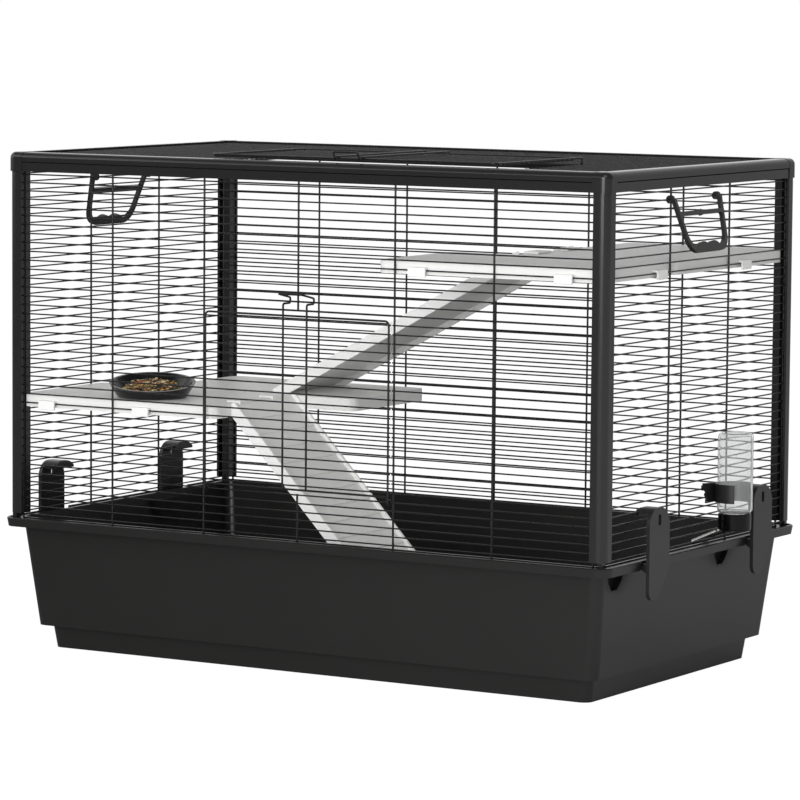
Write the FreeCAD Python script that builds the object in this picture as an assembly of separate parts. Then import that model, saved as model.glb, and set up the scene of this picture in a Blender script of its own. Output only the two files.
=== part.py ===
import FreeCAD, Part
import math
import os

from FreeCAD import Vector

# Small-animal cage. Millimetres. Origin: centre of the tray's underside.
# +Z is up, +X runs to the right along the length, the front door faces -Y.

# Overall
LENGTH = 800.0
DEPTH = 470.0
HEIGHT = 580.0

# Tray
RIM_TOP = 155.0
RIM_HEIGHT = 10.5
RIM_SKIN = 2.5
RIM_CORNER = 17.0
RIM_DRAFT = 1.8
RIM_CHAMFER = 1.2
RIM_BEAD = 3.2
CHANNEL_WIDTH = 12.0
CHANNEL_DEPTH = 1.5
WALL = 2.6
WALL_TOP_INSET = 15.2
WALL_FOOT_INSET = 29.0
WALL_CORNER = 13.0
STEP_HEIGHT = 27.0
PLINTH_TOP_INSET = 40.5
PLINTH_FOOT_INSET = 44.0
PLINTH_CORNER = 11.0
POCKET_WIDTH = 38.0
POCKET_HEIGHT = 19.5
POCKET_DEPTH = 8.0
POCKET_SHIFT = 55.0
POCKET_WAIST_SHARE = 0.8
POCKET_TOE_SHARE = 0.33
POCKET_ROUND = 2.0

# Wires
BAR_RADIUS = 0.85
UPRIGHT_RADIUS = 1.175
WIRE_INSET = 10.75
FIRST_BAR_GAP = 4.53
EDGE_ROWS = 5
EDGE_PITCH = 9.534
MID_PITCH = 10.336
LAST_BAR_GAP = 3.4
FRONT_UPRIGHT_PITCH = 125.65
FRONT_BAYS_EACH_SIDE = 3
SIDE_UPRIGHT_PITCH = 143.05
SEAT_GAP = 0.3

# Corner posts
POST_INSET = 6.5
POST_LEG = 18.0
POST_SKIN = 3.1
POST_SLOT = 6.0
POST_INNER_SKIN = 2.2
POST_CORNER = 10.0
POST_LIFT = 5.0
POST_FOOT = 5.6

# Top frame
RAIL_INSET = 5.5
RAIL_HEIGHT = 22.0
RAIL_WIDTH = 16.0
RAIL_SKIN = 2.8
RAIL_TOP_SKIN = 3.2
RAIL_ROUND = 7.0
RAIL_STEP = 0.8
RAIL_GROOVE_DROP = 10.6
RAIL_GROOVE = 1.2
RAIL_LIP = 2.0
RAIL_SLOT = 2.4
RAIL_SLOT_DEPTH = 5.0
CORNER_SIZE = 20.0
CORNER_PROUD = 0.3

# Front door
DOOR_HALF_WIDTH = 121.0
DOOR_TOP_ROW = 20
DOOR_TOP_DROP = 5.9
DOOR_SILL_LIFT = 6.0
DOOR_PROUD = 0.4
DOOR_BAR_OVERHANG = 1.4
EYE_CLEARANCE = 0.4
EYE_TURN = 290.0
WIRE_BEND = 5.0
LATCH_HALF_WIDTH = 15.6
LATCH_BEND = 2.4
LATCH_REACH = 15.0
LATCH_FINGER = 10.0
LATCH_RISE = 5.3
LATCH_DROOP = 1.5

# Roof and its door
ROOF_PITCH = 10.336
ROOF_BAYS_EACH_SIDE = 2
ROOF_DOOR_LEFT_BAY = -1
ROOF_DOOR_RIGHT_BAY = 2
ROOF_HINGE_ROW = -2
ROOF_DOOR_GAP = 4.65
ROOF_DOOR_LIFT = 7.8
ROOF_DOOR_SILL = 6.3
ROOF_DOOR_FRONT_LAP = 0.5
ROOF_LATCH_REACH = 12.0
ROOF_LATCH_RISE = 5.5
ROOF_LATCH_BEND = 1.35

# Side clips
CLIP_SPACING = 253.2
CLIP_WIDTH = 47.0
CLIP_SKIN = 4.2
CLIP_STANDOFF = 3.6
CLIP_TIP = 111.0
CLIP_CROWN = 4.6
CLIP_HOOK_LIP = 3.3
CLIP_HOOK_WIDTH = 36.0
CLIP_HOOK_DROP = 11.0
CLIP_BORE_CLEARANCE = 0.25
CLIP_CATCH_WIDTH = 36.0
CLIP_CATCH_DEPTH = 3.0
CLIP_CATCH_HEIGHT = 6.0
CLIP_NOTCH_DEPTH = 7.0
CLIP_NOTCH_SIDE = 2.0
CLIP_SLOT_WIDTH = 6.5
CLIP_SLOT_HEIGHT = 12.0
CLIP_SLOT_DROP = 7.5
CLIP_SLOT_ROUND = 2.6
CLIP_TIP_SHARE = 0.1
CLIP_PLATE_ROUND_SHARES = (0.8, 0.9, 1.0, 0.35, 0.45)
CLIP_HOOK_TIP_ROUND = 1.0
CLIP_HOOK_ROUND_SHARES = (0.8, 1.0, 0.6)

# Handles
LEFT_HANDLE_Y = -5.0
RIGHT_HANDLE_Y = -21.0
HANDLE_EYE_SPACING = 110.5
HANDLE_FOOT_WIDTH = 90.0
HANDLE_DROP = 60.0
HANDLE_SLOPE = 15.8
HANDLE_STANDOFF = 0.45
HANDLE_ARM = 4.8
HANDLE_THICKNESS = 4.6
HANDLE_CORNER = 22.0
HANDLE_GRIP = 7.5
HANDLE_LOBE_PITCH = 25.0
HANDLE_LOBE_RISE = 4.4
HANDLE_BAR_DROP = 15.5
HANDLE_BAR = 4.6
HANDLE_BUMP = 3.6
HANDLE_EYE_RADIUS = 4.6
HANDLE_EASE = 2.0

# Shelves
SHELF_THICKNESS = 14.5
SHELF_TOP_SKIN = 2.6
SHELF_SKIRT = 2.4
SHELF_CORNER = 12.0
SHELF_ABOVE_WIRE = 9.6
SHELF_WIDTH = 164.0
SHELF_NOTCH_GAP = 1.0
SHELF_RIB = 2.0
SHELF_RIB_DEPTH = 7.0
SHELF_RIB_SHARES = (0.25, 0.5, 0.75)
SHELF_TAB = 22.0
SHELF_TAB_SKIN = 2.3
SHELF_TAB_DROP = 7.0
SHELF_TAB_TIP_ROUND = 0.8
SHELF_TAB_TOP_ROUND = 1.5
SHELF_TONGUE = 22.0
SHELF_TONGUE_LENGTH = 14.0
SHELF_TONGUE_SKIN = 3.6
TONGUE_CLEARANCE = 0.3
LOWER_TONGUE_SHARES = (0.56, 0.12)
UPPER_TONGUE_SHARES = (0.75, 0.35)
FRONT_HALF_TAB_SHARE = 0.25
SIDE_HALF_TAB_SHARE = 0.6
LOWER_SHELF_ROW = 8
UPPER_SHELF_ROWS_BELOW_EDGE = 4
LOWER_SHELF_LENGTH = 270.0
LOWER_SHELF_LEFT_GAP = 18.0
LOWER_SHELF_SHIFT = 83.0
LOWER_TAB_SPOTS = (41.0, 172.0)
UPPER_SHELF_LENGTH = 284.0
UPPER_SHELF_RIGHT_GAP = 15.0
UPPER_TAB_SPOTS = (55.0, 238.0)
SIDE_SHELF_LENGTH = 274.0
SIDE_SHELF_WIDTH = 200.0

# Ramps
RAMP_WIDTH = 130.0
RAMP_SKIN = 2.6
RAMP_RAIL = 3.0
RAMP_RAIL_RISE = 4.5
RAMP_RAIL_DROP = 9.0
RAMP_RAIL_ROUND = 3.0
RAMP_RIB_PITCH = 22.0
RAMP_RIB = 2.4
RAMP_RIB_HEIGHT = 1.2
RAMP_HOOK_LENGTH = 16.0
RAMP_HOOK_WIDTH = 30.0
RAMP_HOOK_INSET = 15.6
RAMP_HOOK_SKIN = 2.4
RAMP_EDGE_GAP = 0.6
LOWER_RAMP_SLOPE = 46.3
LOWER_RAMP_SIDE_GAP = 0.75
UPPER_RAMP_SLOPE = 28.2
UPPER_RAMP_SIDE_GAP = 6.75

# Food bowl
BOWL_FROM_LEFT = 150.0
BOWL_FROM_FRONT = 50.75
BOWL_RADIUS = 54.5
BOWL_FOOT_RADIUS = 40.0
BOWL_FOOT_ROUND = 5.0
BOWL_HEIGHT = 24.0
BOWL_WALL = 3.0
BOWL_FLOOR = 4.5
BOWL_FOOT_RING = 9.0
BOWL_TILT = 7.9
BOWL_TILT_HEADING = -59.3

# Drinking bottle
BOTTLE_Y = 44.0
BOTTLE_RADIUS = 20.0
BOTTLE_WALL = 1.5
BOTTLE_LENGTH = 91.0
BOTTLE_SHOULDER = 5.0
NECK_RADIUS = 15.0
NECK_LENGTH = 12.0
NECK_ROUND = 1.0
CAP_RADIUS = 18.6
CAP_HEIGHT = 19.0
CAP_SKIN = 2.4
CAP_ROUND = 2.0
CAP_LIP_ROUND = 0.8
CAP_BOTTOM_ABOVE_RIM = 14.5
SEAL_THICKNESS = 2.0
SPOUT_RADIUS = 3.0
SPOUT_BORE = 2.45
SPOUT_FIT = 0.15
SPOUT_SLOPE = 24.0
SPOUT_REACH = 28.0
SPOUT_LIP = 0.6
SPOUT_LIP_RADIUS = 2.0
SPOUT_BOSS_RADIUS = 5.2
SPOUT_BOSS_LENGTH = 15.25
BALL_RADIUS = 2.35
HOLDER_SKIN = 2.35
HOLDER_HEIGHT = 21.0
HOLDER_WRAP = 115.0
HOLDER_ARM = 14.4
HOLDER_HOOK_WIDTH = 11.0
HOLDER_HOOK_DROP = 2.55
HOLDER_ROUND = 1.0
HOLDER_TEETH = ((0.0, 1.1), (3.0, 0.72), (7.0, 0.6), (4.0, 0.45), (8.0, 0.3), (7.0, 0.0))
HOLDER_CLEARANCE = 0.3

# Worked out from the driving dimensions
HALF_X = LENGTH / 2
HALF_Y = DEPTH / 2
WIRE_X = HALF_X - WIRE_INSET
WIRE_Y = HALF_Y - WIRE_INSET
UPRIGHT_STEP = BAR_RADIUS + UPRIGHT_RADIUS
UPRIGHT_X = WIRE_X - UPRIGHT_STEP
UPRIGHT_Y = WIRE_Y - UPRIGHT_STEP
CLEAR_Y = UPRIGHT_Y - UPRIGHT_RADIUS - SEAT_GAP
RAIL_X = HALF_X - RAIL_INSET
RAIL_Y = HALF_Y - RAIL_INSET
RAIL_BOTTOM = HEIGHT - RAIL_HEIGHT
CHANNEL_FLOOR = RIM_TOP - CHANNEL_DEPTH
BASE_BAR = RIM_TOP + FIRST_BAR_GAP + EDGE_ROWS * EDGE_PITCH
MID_ROWS = round((RAIL_BOTTOM - LAST_BAR_GAP - BASE_BAR - EDGE_ROWS * EDGE_PITCH) / MID_PITCH)
TOP_ROW = MID_ROWS + EDGE_ROWS
HANDLE_ROW = TOP_ROW - 1
UPPER_SHELF_ROW = MID_ROWS - UPPER_SHELF_ROWS_BELOW_EDGE
POST_CORE = POST_SKIN + POST_SLOT + POST_INNER_SKIN
POST_X = HALF_X - POST_INSET
POST_Y = HALF_Y - POST_INSET
PANEL_END_X = POST_X - POST_CORE - SEAT_GAP
PANEL_END_Y = POST_Y - POST_CORE - SEAT_GAP
UPRIGHT_FOOT = CHANNEL_FLOOR + SEAT_GAP
UPRIGHT_HEAD = HEIGHT - RAIL_TOP_SKIN - SEAT_GAP
ROOF_Z = HEIGHT - RAIL_LIP - RAIL_SLOT / 2
ROOF_CROSS_Z = ROOF_Z - UPRIGHT_STEP
ROOF_END_X = RAIL_X - RAIL_WIDTH + RAIL_SLOT_DEPTH - SEAT_GAP
ROOF_END_Y = RAIL_Y - RAIL_WIDTH - SEAT_GAP
ROOF_ROWS = int((RAIL_Y - CORNER_SIZE - UPRIGHT_RADIUS) / ROOF_PITCH)
EYE_RADIUS = BAR_RADIUS + EYE_CLEARANCE + UPRIGHT_RADIUS
FLOOR_TOP = WALL


def bar_height(row):
    """Height of a horizontal bar: close pitch in the rows next to the rim and the rail, wider between."""
    below = min(row, 0)
    middle = min(max(row, 0), MID_ROWS)
    above = max(row - MID_ROWS, 0)
    return BASE_BAR + (below + above) * EDGE_PITCH + middle * MID_PITCH


def wall_inset(z):
    """Inset of the tray wall's outer face, which leans in towards the foot."""
    share = (z - STEP_HEIGHT) / (RIM_TOP - STEP_HEIGHT)
    return WALL_FOOT_INSET + (WALL_TOP_INSET - WALL_FOOT_INSET) * share


def box(x0, x1, y0, y1, z0, z1):
    """Block between two corners, given as three spans in any order."""
    low = Vector(min(x0, x1), min(y0, y1), min(z0, z1))
    size = Vector(abs(x1 - x0), abs(y1 - y0), abs(z1 - z0))
    return Part.makeBox(size.x, size.y, size.z, low)


def rod(start, end, radius):
    """Round bar from start to end."""
    run = end - start
    return Part.makeCylinder(radius, run.Length, start, run)


def corner_arc(before, corner, after, radius):
    """Tangent arc that rounds a corner: its start, middle and end points."""
    back = (before - corner).normalize()
    on = (after - corner).normalize()
    half = back.getAngle(on) / 2
    middle = (back + on).normalize()
    setback = radius / math.tan(half)
    depth = radius / math.sin(half) - radius
    return corner + back * setback, corner + middle * depth, corner + on * setback


def outline(corners, place):
    """Closed wire through corners (a, b, radius); place turns (a, b) into a point."""
    points = [place(a, b) for a, b, radius in corners]
    arcs = []
    for index, (a, b, radius) in enumerate(corners):
        corner = points[index]
        if radius > 0:
            after = points[(index + 1) % len(points)]
            arcs.append(corner_arc(points[index - 1], corner, after, radius))
        else:
            arcs.append((corner, corner, corner))
    edges = []
    for index, (start, middle, end) in enumerate(arcs):
        if start.distanceToPoint(end) > 1e-6:
            edges.append(Part.Arc(start, middle, end).toShape())
        following = arcs[(index + 1) % len(arcs)][0]
        if end.distanceToPoint(following) > 1e-6:
            edges.append(Part.LineSegment(end, following).toShape())
    return Part.Wire(edges)


def prism(corners, place, run):
    """Solid made by extruding a rounded outline along run."""
    return Part.Face(outline(corners, place)).extrude(run)


def plan(half_x, half_y, radius, z):
    """Rounded rectangle about the origin at height z."""
    corners = [
        (half_x, half_y, radius), (-half_x, half_y, radius),
        (-half_x, -half_y, radius), (half_x, -half_y, radius),
    ]
    return outline(corners, lambda a, b: Vector(a, b, z))


def tray_plan(inset, radius, z):
    """The tray's outline drawn in by inset, at height z."""
    return plan(HALF_X - inset, HALF_Y - inset, radius, z)


def loft(*wires):
    """Straight-sided solid through closed wires."""
    return Part.makeLoft(list(wires), True, True)


def bent_rod(points, radius, bends):
    """Round wire along straight runs; bends holds the bend radius at each inner point."""
    arcs = []
    for index in range(1, len(points) - 1):
        arcs.append(corner_arc(points[index - 1], points[index], points[index + 1], bends[index - 1]))
    edges = []
    place = points[0]
    for start, middle, end in arcs:
        edges.append(Part.LineSegment(place, start).toShape())
        edges.append(Part.Arc(start, middle, end).toShape())
        place = end
    edges.append(Part.LineSegment(place, points[-1]).toShape())
    return sweep(edges, points[0], points[1] - points[0], radius)


def sweep(edges, start, heading, radius):
    """Round wire of one radius along a chain of tangent edges."""
    section = Part.Wire(Part.makeCircle(radius, start, heading))
    return Part.Wire(edges).makePipeShell([section], True, False)


def eye_arcs(centre, first, turn_towards, turn):
    """Two arcs of a wire eye round centre: from the point first, turning towards turn_towards."""
    side = first - centre
    ahead = turn_towards * side.Length

    def at(angle):
        return centre + side * math.cos(math.radians(angle)) + ahead * math.sin(math.radians(angle))

    half = turn / 2
    return [
        Part.Arc(at(0), at(half / 2), at(half)).toShape(),
        Part.Arc(at(half), at(half * 1.5), at(turn)).toShape(),
    ], at(turn)


def mirrored(shape, normal):
    """Mirror image across a plane through the origin."""
    return shape.mirror(Vector(0, 0, 0), normal)


def make_tray():
    """Stepped tub with a leaning wall, a channelled rim, clip notches and clip pockets."""
    plinth = loft(
        tray_plan(PLINTH_FOOT_INSET, PLINTH_CORNER, 0),
        tray_plan(PLINTH_TOP_INSET, PLINTH_CORNER, STEP_HEIGHT),
    )
    wall = loft(
        tray_plan(WALL_FOOT_INSET, WALL_CORNER, STEP_HEIGHT),
        tray_plan(WALL_TOP_INSET, WALL_CORNER, RIM_TOP),
    )
    rim_bottom = RIM_TOP - RIM_HEIGHT
    rim = loft(
        tray_plan(RIM_DRAFT, RIM_CORNER - RIM_DRAFT, rim_bottom),
        tray_plan(0, RIM_CORNER, RIM_TOP - RIM_CHAMFER),
        tray_plan(RIM_CHAMFER, RIM_CORNER - RIM_CHAMFER, RIM_TOP),
    )
    under = RIM_DRAFT + RIM_SKIN
    rim_hollow = Part.Face(tray_plan(under, RIM_CORNER - under, rim_bottom))
    rim = rim.cut(rim_hollow.extrude(Vector(0, 0, RIM_HEIGHT - RIM_SKIN - CHANNEL_DEPTH)))
    groove_out = Part.Face(tray_plan(RIM_BEAD, RIM_CORNER - RIM_BEAD, CHANNEL_FLOOR))
    groove_in = RIM_BEAD + CHANNEL_WIDTH
    groove_core = Part.Face(tray_plan(groove_in, WALL_CORNER, CHANNEL_FLOOR))
    groove = groove_out.cut(groove_core).extrude(Vector(0, 0, 2 * CHANNEL_DEPTH))
    top = RIM_TOP + WALL
    cavity = loft(
        tray_plan(wall_inset(STEP_HEIGHT + FLOOR_TOP) + WALL, WALL_CORNER - WALL, STEP_HEIGHT + FLOOR_TOP),
        tray_plan(wall_inset(top) + WALL, WALL_CORNER - WALL, top),
    )
    well = loft(
        tray_plan(PLINTH_FOOT_INSET + WALL, PLINTH_CORNER - WALL, FLOOR_TOP),
        tray_plan(PLINTH_TOP_INSET + WALL, PLINTH_CORNER - WALL, STEP_HEIGHT + FLOOR_TOP),
    )
    tub = plinth.fuse([wall, rim]).cut([cavity, well])
    tub = tub.cut(groove)
    for side in (-1, 1):
        for y in (-CLIP_SPACING / 2, CLIP_SPACING / 2):
            boss = pocket(side, y - POCKET_SHIFT, WALL, POCKET_DEPTH + WALL).common(wall)
            tub = tub.fuse(boss)
            tub = tub.cut(pocket(side, y - POCKET_SHIFT, 0, POCKET_DEPTH))
            notch_half = CLIP_WIDTH / 2 + CLIP_NOTCH_SIDE
            notch = box(
                side * (HALF_X - CLIP_NOTCH_DEPTH), side * (HALF_X + WALL),
                y - notch_half, y + notch_half, rim_bottom - WALL, RIM_TOP + WALL,
            )
            tub = tub.cut(notch)
    return tub.removeSplitter()


def pocket(side, y, margin, depth):
    """Shield-shaped block under the rim at one end of the tray, grown by margin."""
    head = RIM_TOP - RIM_HEIGHT + margin
    shoulder = head - POCKET_HEIGHT / 2 - margin
    foot = RIM_TOP - RIM_HEIGHT - POCKET_HEIGHT - margin
    wide = POCKET_WIDTH / 2 + margin
    waist = wide * POCKET_WAIST_SHARE
    toe = POCKET_WIDTH / 2 * POCKET_TOE_SHARE + margin
    face_x = HALF_X - wall_inset(RIM_TOP - RIM_HEIGHT)
    corners = [
        (y - wide, head, 0), (y + wide, head, 0), (y + waist, shoulder, POCKET_ROUND),
        (y + toe, foot, POCKET_ROUND), (y - toe, foot, POCKET_ROUND), (y - waist, shoulder, POCKET_ROUND),
    ]
    inner = side * (face_x - depth)
    return prism(corners, lambda a, b: Vector(inner, a, b), Vector(side * (depth + RIM_SKIN), 0, 0))


def make_post():
    """Corner post at +X +Y: a rounded post whose two slots take the panel edges, on a small foot."""
    bottom = RIM_TOP + POST_LIFT
    corners = [
        (POST_X, POST_Y, POST_CORNER), (POST_X - POST_LEG, POST_Y, 0),
        (POST_X - POST_LEG, POST_Y - POST_LEG, 0), (POST_X, POST_Y - POST_LEG, 0),
    ]
    body = prism(corners, lambda a, b: Vector(a, b, bottom), Vector(0, 0, RAIL_BOTTOM - bottom))
    near = POST_SKIN
    far = POST_SKIN + POST_SLOT
    beyond = POST_LEG + POST_SKIN
    cuts = [
        box(POST_X - beyond, POST_X - POST_CORE, POST_Y - far, POST_Y - near, bottom, RAIL_BOTTOM),
        box(POST_X - far, POST_X - near, POST_Y - beyond, POST_Y - POST_CORE, bottom, RAIL_BOTTOM),
    ]
    foot_far = POST_SKIN + POST_FOOT
    foot = box(
        POST_X - foot_far, POST_X - near, POST_Y - foot_far, POST_Y - near,
        CHANNEL_FLOOR, bottom,
    )
    return body.cut(cuts).fuse(foot).removeSplitter()


def rail_profile(place):
    """Section of a top rail: d runs inwards from the outer face, z is the height."""
    groove_top = HEIGHT - RAIL_GROOVE_DROP
    slot_top = HEIGHT - RAIL_LIP
    slot_floor = slot_top - RAIL_SLOT
    slot_back = RAIL_WIDTH - RAIL_SLOT_DEPTH
    inner_web = slot_back - RAIL_SKIN / 2
    outer_web = RAIL_STEP + RAIL_SKIN
    corners = [
        (RAIL_STEP, RAIL_BOTTOM, 0), (RAIL_STEP, groove_top - RAIL_GROOVE, 0),
        (RAIL_STEP + RAIL_GROOVE, groove_top - RAIL_GROOVE / 2, 0), (0, groove_top, 0),
        (0, HEIGHT, RAIL_ROUND), (RAIL_WIDTH, HEIGHT, 0),
        (RAIL_WIDTH, slot_top, 0), (slot_back, slot_top, 0),
        (slot_back, slot_floor, 0), (RAIL_WIDTH, slot_floor, 0),
        (RAIL_WIDTH, slot_floor - RAIL_LIP, 0), (inner_web, slot_floor - RAIL_LIP, 0),
        (inner_web, HEIGHT - RAIL_TOP_SKIN, 0), (outer_web, HEIGHT - RAIL_TOP_SKIN, 0),
        (outer_web, RAIL_BOTTOM, 0),
    ]
    return outline(corners, place)


def make_rail_long():
    """Front rail between two corner pieces."""
    end = RAIL_X - CORNER_SIZE
    profile = rail_profile(lambda d, z: Vector(-end, -RAIL_Y + d, z))
    return Part.Face(profile).extrude(Vector(2 * end, 0, 0))


def make_rail_short():
    """Right rail between two corner pieces."""
    end = RAIL_Y - CORNER_SIZE
    profile = rail_profile(lambda d, z: Vector(RAIL_X - d, -end, z))
    return Part.Face(profile).extrude(Vector(0, 2 * end, 0))


def make_rail_corner():
    """Rounded three-way corner piece at +X +Y, a little proud of the rails."""
    far_x = RAIL_X + CORNER_PROUD
    far_y = RAIL_Y + CORNER_PROUD
    top = HEIGHT + CORNER_PROUD
    corners = [
        (far_x, far_y, POST_CORNER), (RAIL_X - CORNER_SIZE, far_y, 0),
        (RAIL_X - CORNER_SIZE, RAIL_Y - CORNER_SIZE, 0), (far_x, RAIL_Y - CORNER_SIZE, 0),
    ]
    block = prism(corners, lambda a, b: Vector(a, b, RAIL_BOTTOM), Vector(0, 0, top - RAIL_BOTTOM))
    rounded = []
    for edge in block.Edges:
        centre = edge.CenterOfMass
        level = abs(centre.z - top) < 1e-6
        outer = centre.x > RAIL_X - POST_CORNER / 2 or centre.y > RAIL_Y - POST_CORNER / 2
        if level and outer:
            rounded.append(edge)
    return block.makeFillet(RAIL_ROUND, rounded)


def side_bar(side, row):
    """One bar of an end panel, along Y."""
    z = bar_height(row)
    x = side * WIRE_X
    return rod(Vector(x, -PANEL_END_Y, z), Vector(x, PANEL_END_Y, z), BAR_RADIUS)


def make_side_panel(side):
    """End panel: bars all the way up on uprights behind them; the outer uprights hide in the posts."""
    wires = [side_bar(side, row) for row in range(-EDGE_ROWS, TOP_ROW + 1)]
    for step in (-1.5, -0.5, 0.5, 1.5):
        y = step * SIDE_UPRIGHT_PITCH
        head = UPRIGHT_HEAD if abs(y) < RAIL_Y - CORNER_SIZE else RAIL_BOTTOM - SEAT_GAP
        x = side * UPRIGHT_X
        wires.append(rod(Vector(x, y, UPRIGHT_FOOT), Vector(x, y, head), UPRIGHT_RADIUS))
    return Part.makeCompound(wires)


def upright_head(x):
    """Uprights end under the rail's top, but the outermost end under the corner pieces."""
    return UPRIGHT_HEAD if abs(x) < RAIL_X - CORNER_SIZE else RAIL_BOTTOM - SEAT_GAP


def make_back_panel():
    """Back panel: full-width bars and seven uprights."""
    wires = []
    for row in range(-EDGE_ROWS, TOP_ROW + 1):
        z = bar_height(row)
        wires.append(rod(Vector(-PANEL_END_X, WIRE_Y, z), Vector(PANEL_END_X, WIRE_Y, z), BAR_RADIUS))
    for step in range(-FRONT_BAYS_EACH_SIDE, FRONT_BAYS_EACH_SIDE + 1):
        x = step * FRONT_UPRIGHT_PITCH
        foot = Vector(x, UPRIGHT_Y, UPRIGHT_FOOT)
        head = Vector(x, UPRIGHT_Y, upright_head(x))
        wires.append(rod(foot, head, UPRIGHT_RADIUS))
    return Part.makeCompound(wires)


def make_front_panel():
    """Front panel: bars stop at the door opening, and the middle upright is left out there."""
    wires = []
    jamb = FRONT_UPRIGHT_PITCH - UPRIGHT_RADIUS
    for row in range(-EDGE_ROWS, TOP_ROW + 1):
        z = bar_height(row)
        spans = [(-PANEL_END_X, PANEL_END_X)]
        if 0 < row < DOOR_TOP_ROW:
            spans = [(-PANEL_END_X, -jamb), (jamb, PANEL_END_X)]
        for left, right in spans:
            wires.append(rod(Vector(left, -WIRE_Y, z), Vector(right, -WIRE_Y, z), BAR_RADIUS))
    sill = bar_height(0) + BAR_RADIUS
    lintel = bar_height(DOOR_TOP_ROW) - BAR_RADIUS
    for step in range(-FRONT_BAYS_EACH_SIDE, FRONT_BAYS_EACH_SIDE + 1):
        x = step * FRONT_UPRIGHT_PITCH
        runs = [(UPRIGHT_FOOT, upright_head(x))]
        if step == 0:
            runs = [(UPRIGHT_FOOT, sill), (lintel, upright_head(x))]
        for low, high in runs:
            wires.append(rod(Vector(x, -UPRIGHT_Y, low), Vector(x, -UPRIGHT_Y, high), UPRIGHT_RADIUS))
    return Part.makeCompound(wires)


def make_roof_panel():
    """Roof panel: bars along X in the rails' slots on cross wires, open at the roof door."""
    left = ROOF_DOOR_LEFT_BAY * FRONT_UPRIGHT_PITCH + UPRIGHT_RADIUS
    right = ROOF_DOOR_RIGHT_BAY * FRONT_UPRIGHT_PITCH - UPRIGHT_RADIUS
    wires = []
    for row in range(-ROOF_ROWS, ROOF_ROWS + 1):
        y = row * ROOF_PITCH
        spans = [(-ROOF_END_X, ROOF_END_X)]
        if row < ROOF_HINGE_ROW:
            spans = [(-ROOF_END_X, left), (right, ROOF_END_X)]
        for start, end in spans:
            wires.append(rod(Vector(start, y, ROOF_Z), Vector(end, y, ROOF_Z), BAR_RADIUS))
    hinge_y = ROOF_HINGE_ROW * ROOF_PITCH
    for step in range(-ROOF_BAYS_EACH_SIDE, ROOF_BAYS_EACH_SIDE + 1):
        x = step * FRONT_UPRIGHT_PITCH
        inside = ROOF_DOOR_LEFT_BAY < step < ROOF_DOOR_RIGHT_BAY
        near = Vector(x, hinge_y - BAR_RADIUS if inside else -ROOF_END_Y, ROOF_CROSS_Z)
        far = Vector(x, ROOF_END_Y, ROOF_CROSS_Z)
        wires.append(rod(near, far, UPRIGHT_RADIUS))
    return Part.makeCompound(wires)


DOOR_HINGE = Vector(0, -WIRE_Y, bar_height(0))
DOOR_BAR_Y = -WIRE_Y - DOOR_PROUD
DOOR_FRAME_Y = -WIRE_Y - EYE_RADIUS
DOOR_LATCH_Y = DOOR_FRAME_Y - 2 * UPRIGHT_RADIUS
DOOR_TOP = bar_height(DOOR_TOP_ROW) - DOOR_TOP_DROP
DOOR_SILL = bar_height(0) + DOOR_SILL_LIFT


def make_front_door_frame():
    """Bent frame wire whose two ends curl round the hinge bar, with a sill wire between its sides."""
    tall = Vector(0, 0, 1)
    left = Vector(-DOOR_HALF_WIDTH, DOOR_FRAME_Y, DOOR_HINGE.z)
    right = Vector(DOOR_HALF_WIDTH, DOOR_FRAME_Y, DOOR_HINGE.z)
    left_top = Vector(left.x, left.y, DOOR_TOP)
    right_top = Vector(right.x, right.y, DOOR_TOP)
    left_eye, left_end = eye_arcs(Vector(left.x, DOOR_HINGE.y, left.z), left, -tall, EYE_TURN)
    right_eye = eye_arcs(Vector(right.x, DOOR_HINGE.y, right.z), right, -tall, EYE_TURN)[0]
    top_left = corner_arc(left, left_top, right_top, WIRE_BEND)
    top_right = corner_arc(left_top, right_top, right, WIRE_BEND)
    edges = list(reversed(left_eye)) + [
        Part.LineSegment(left, top_left[0]).toShape(),
        Part.Arc(*top_left).toShape(),
        Part.LineSegment(top_left[2], top_right[0]).toShape(),
        Part.Arc(*top_right).toShape(),
        Part.LineSegment(top_right[2], right).toShape(),
    ] + right_eye
    heading = left_eye[1].tangentAt(left_eye[1].LastParameter)
    hoop = sweep(edges, left_end, heading, UPRIGHT_RADIUS)
    sill_left = Vector(left.x, DOOR_FRAME_Y, DOOR_SILL)
    sill_right = Vector(right.x, DOOR_FRAME_Y, DOOR_SILL)
    return hoop.fuse(rod(sill_left, sill_right, UPRIGHT_RADIUS))


def make_front_door_bars():
    """Bars of the front door, in line with the panel's own rows."""
    reach = DOOR_HALF_WIDTH + DOOR_BAR_OVERHANG
    bars = []
    for row in range(1, DOOR_TOP_ROW):
        z = bar_height(row)
        bars.append(rod(Vector(-reach, DOOR_BAR_Y, z), Vector(reach, DOOR_BAR_Y, z), BAR_RADIUS))
    return Part.makeCompound(bars)


def make_front_door_latch():
    """Spring-wire latch: two legs that hook round a bar above the door and join in a finger loop."""
    bar = bar_height(DOOR_TOP_ROW + 1)
    pass_under = bar - BAR_RADIUS - UPRIGHT_RADIUS - LATCH_DROOP / 2
    pass_over = bar + BAR_RADIUS + UPRIGHT_RADIUS + LATCH_DROOP
    inner_y = DOOR_LATCH_Y + LATCH_REACH
    finger_y = DOOR_LATCH_Y - LATCH_FINGER
    foot = DOOR_SILL - UPRIGHT_RADIUS / 2
    leg = [
        (DOOR_LATCH_Y, foot), (DOOR_LATCH_Y, pass_under), (inner_y, pass_under),
        (inner_y, pass_over), (finger_y, pass_over + LATCH_RISE),
    ]
    points = [Vector(-LATCH_HALF_WIDTH, y, z) for y, z in leg]
    points += [Vector(LATCH_HALF_WIDTH, y, z) for y, z in reversed(leg)]
    return bent_rod(points, UPRIGHT_RADIUS, [LATCH_BEND] * (len(points) - 2))


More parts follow.
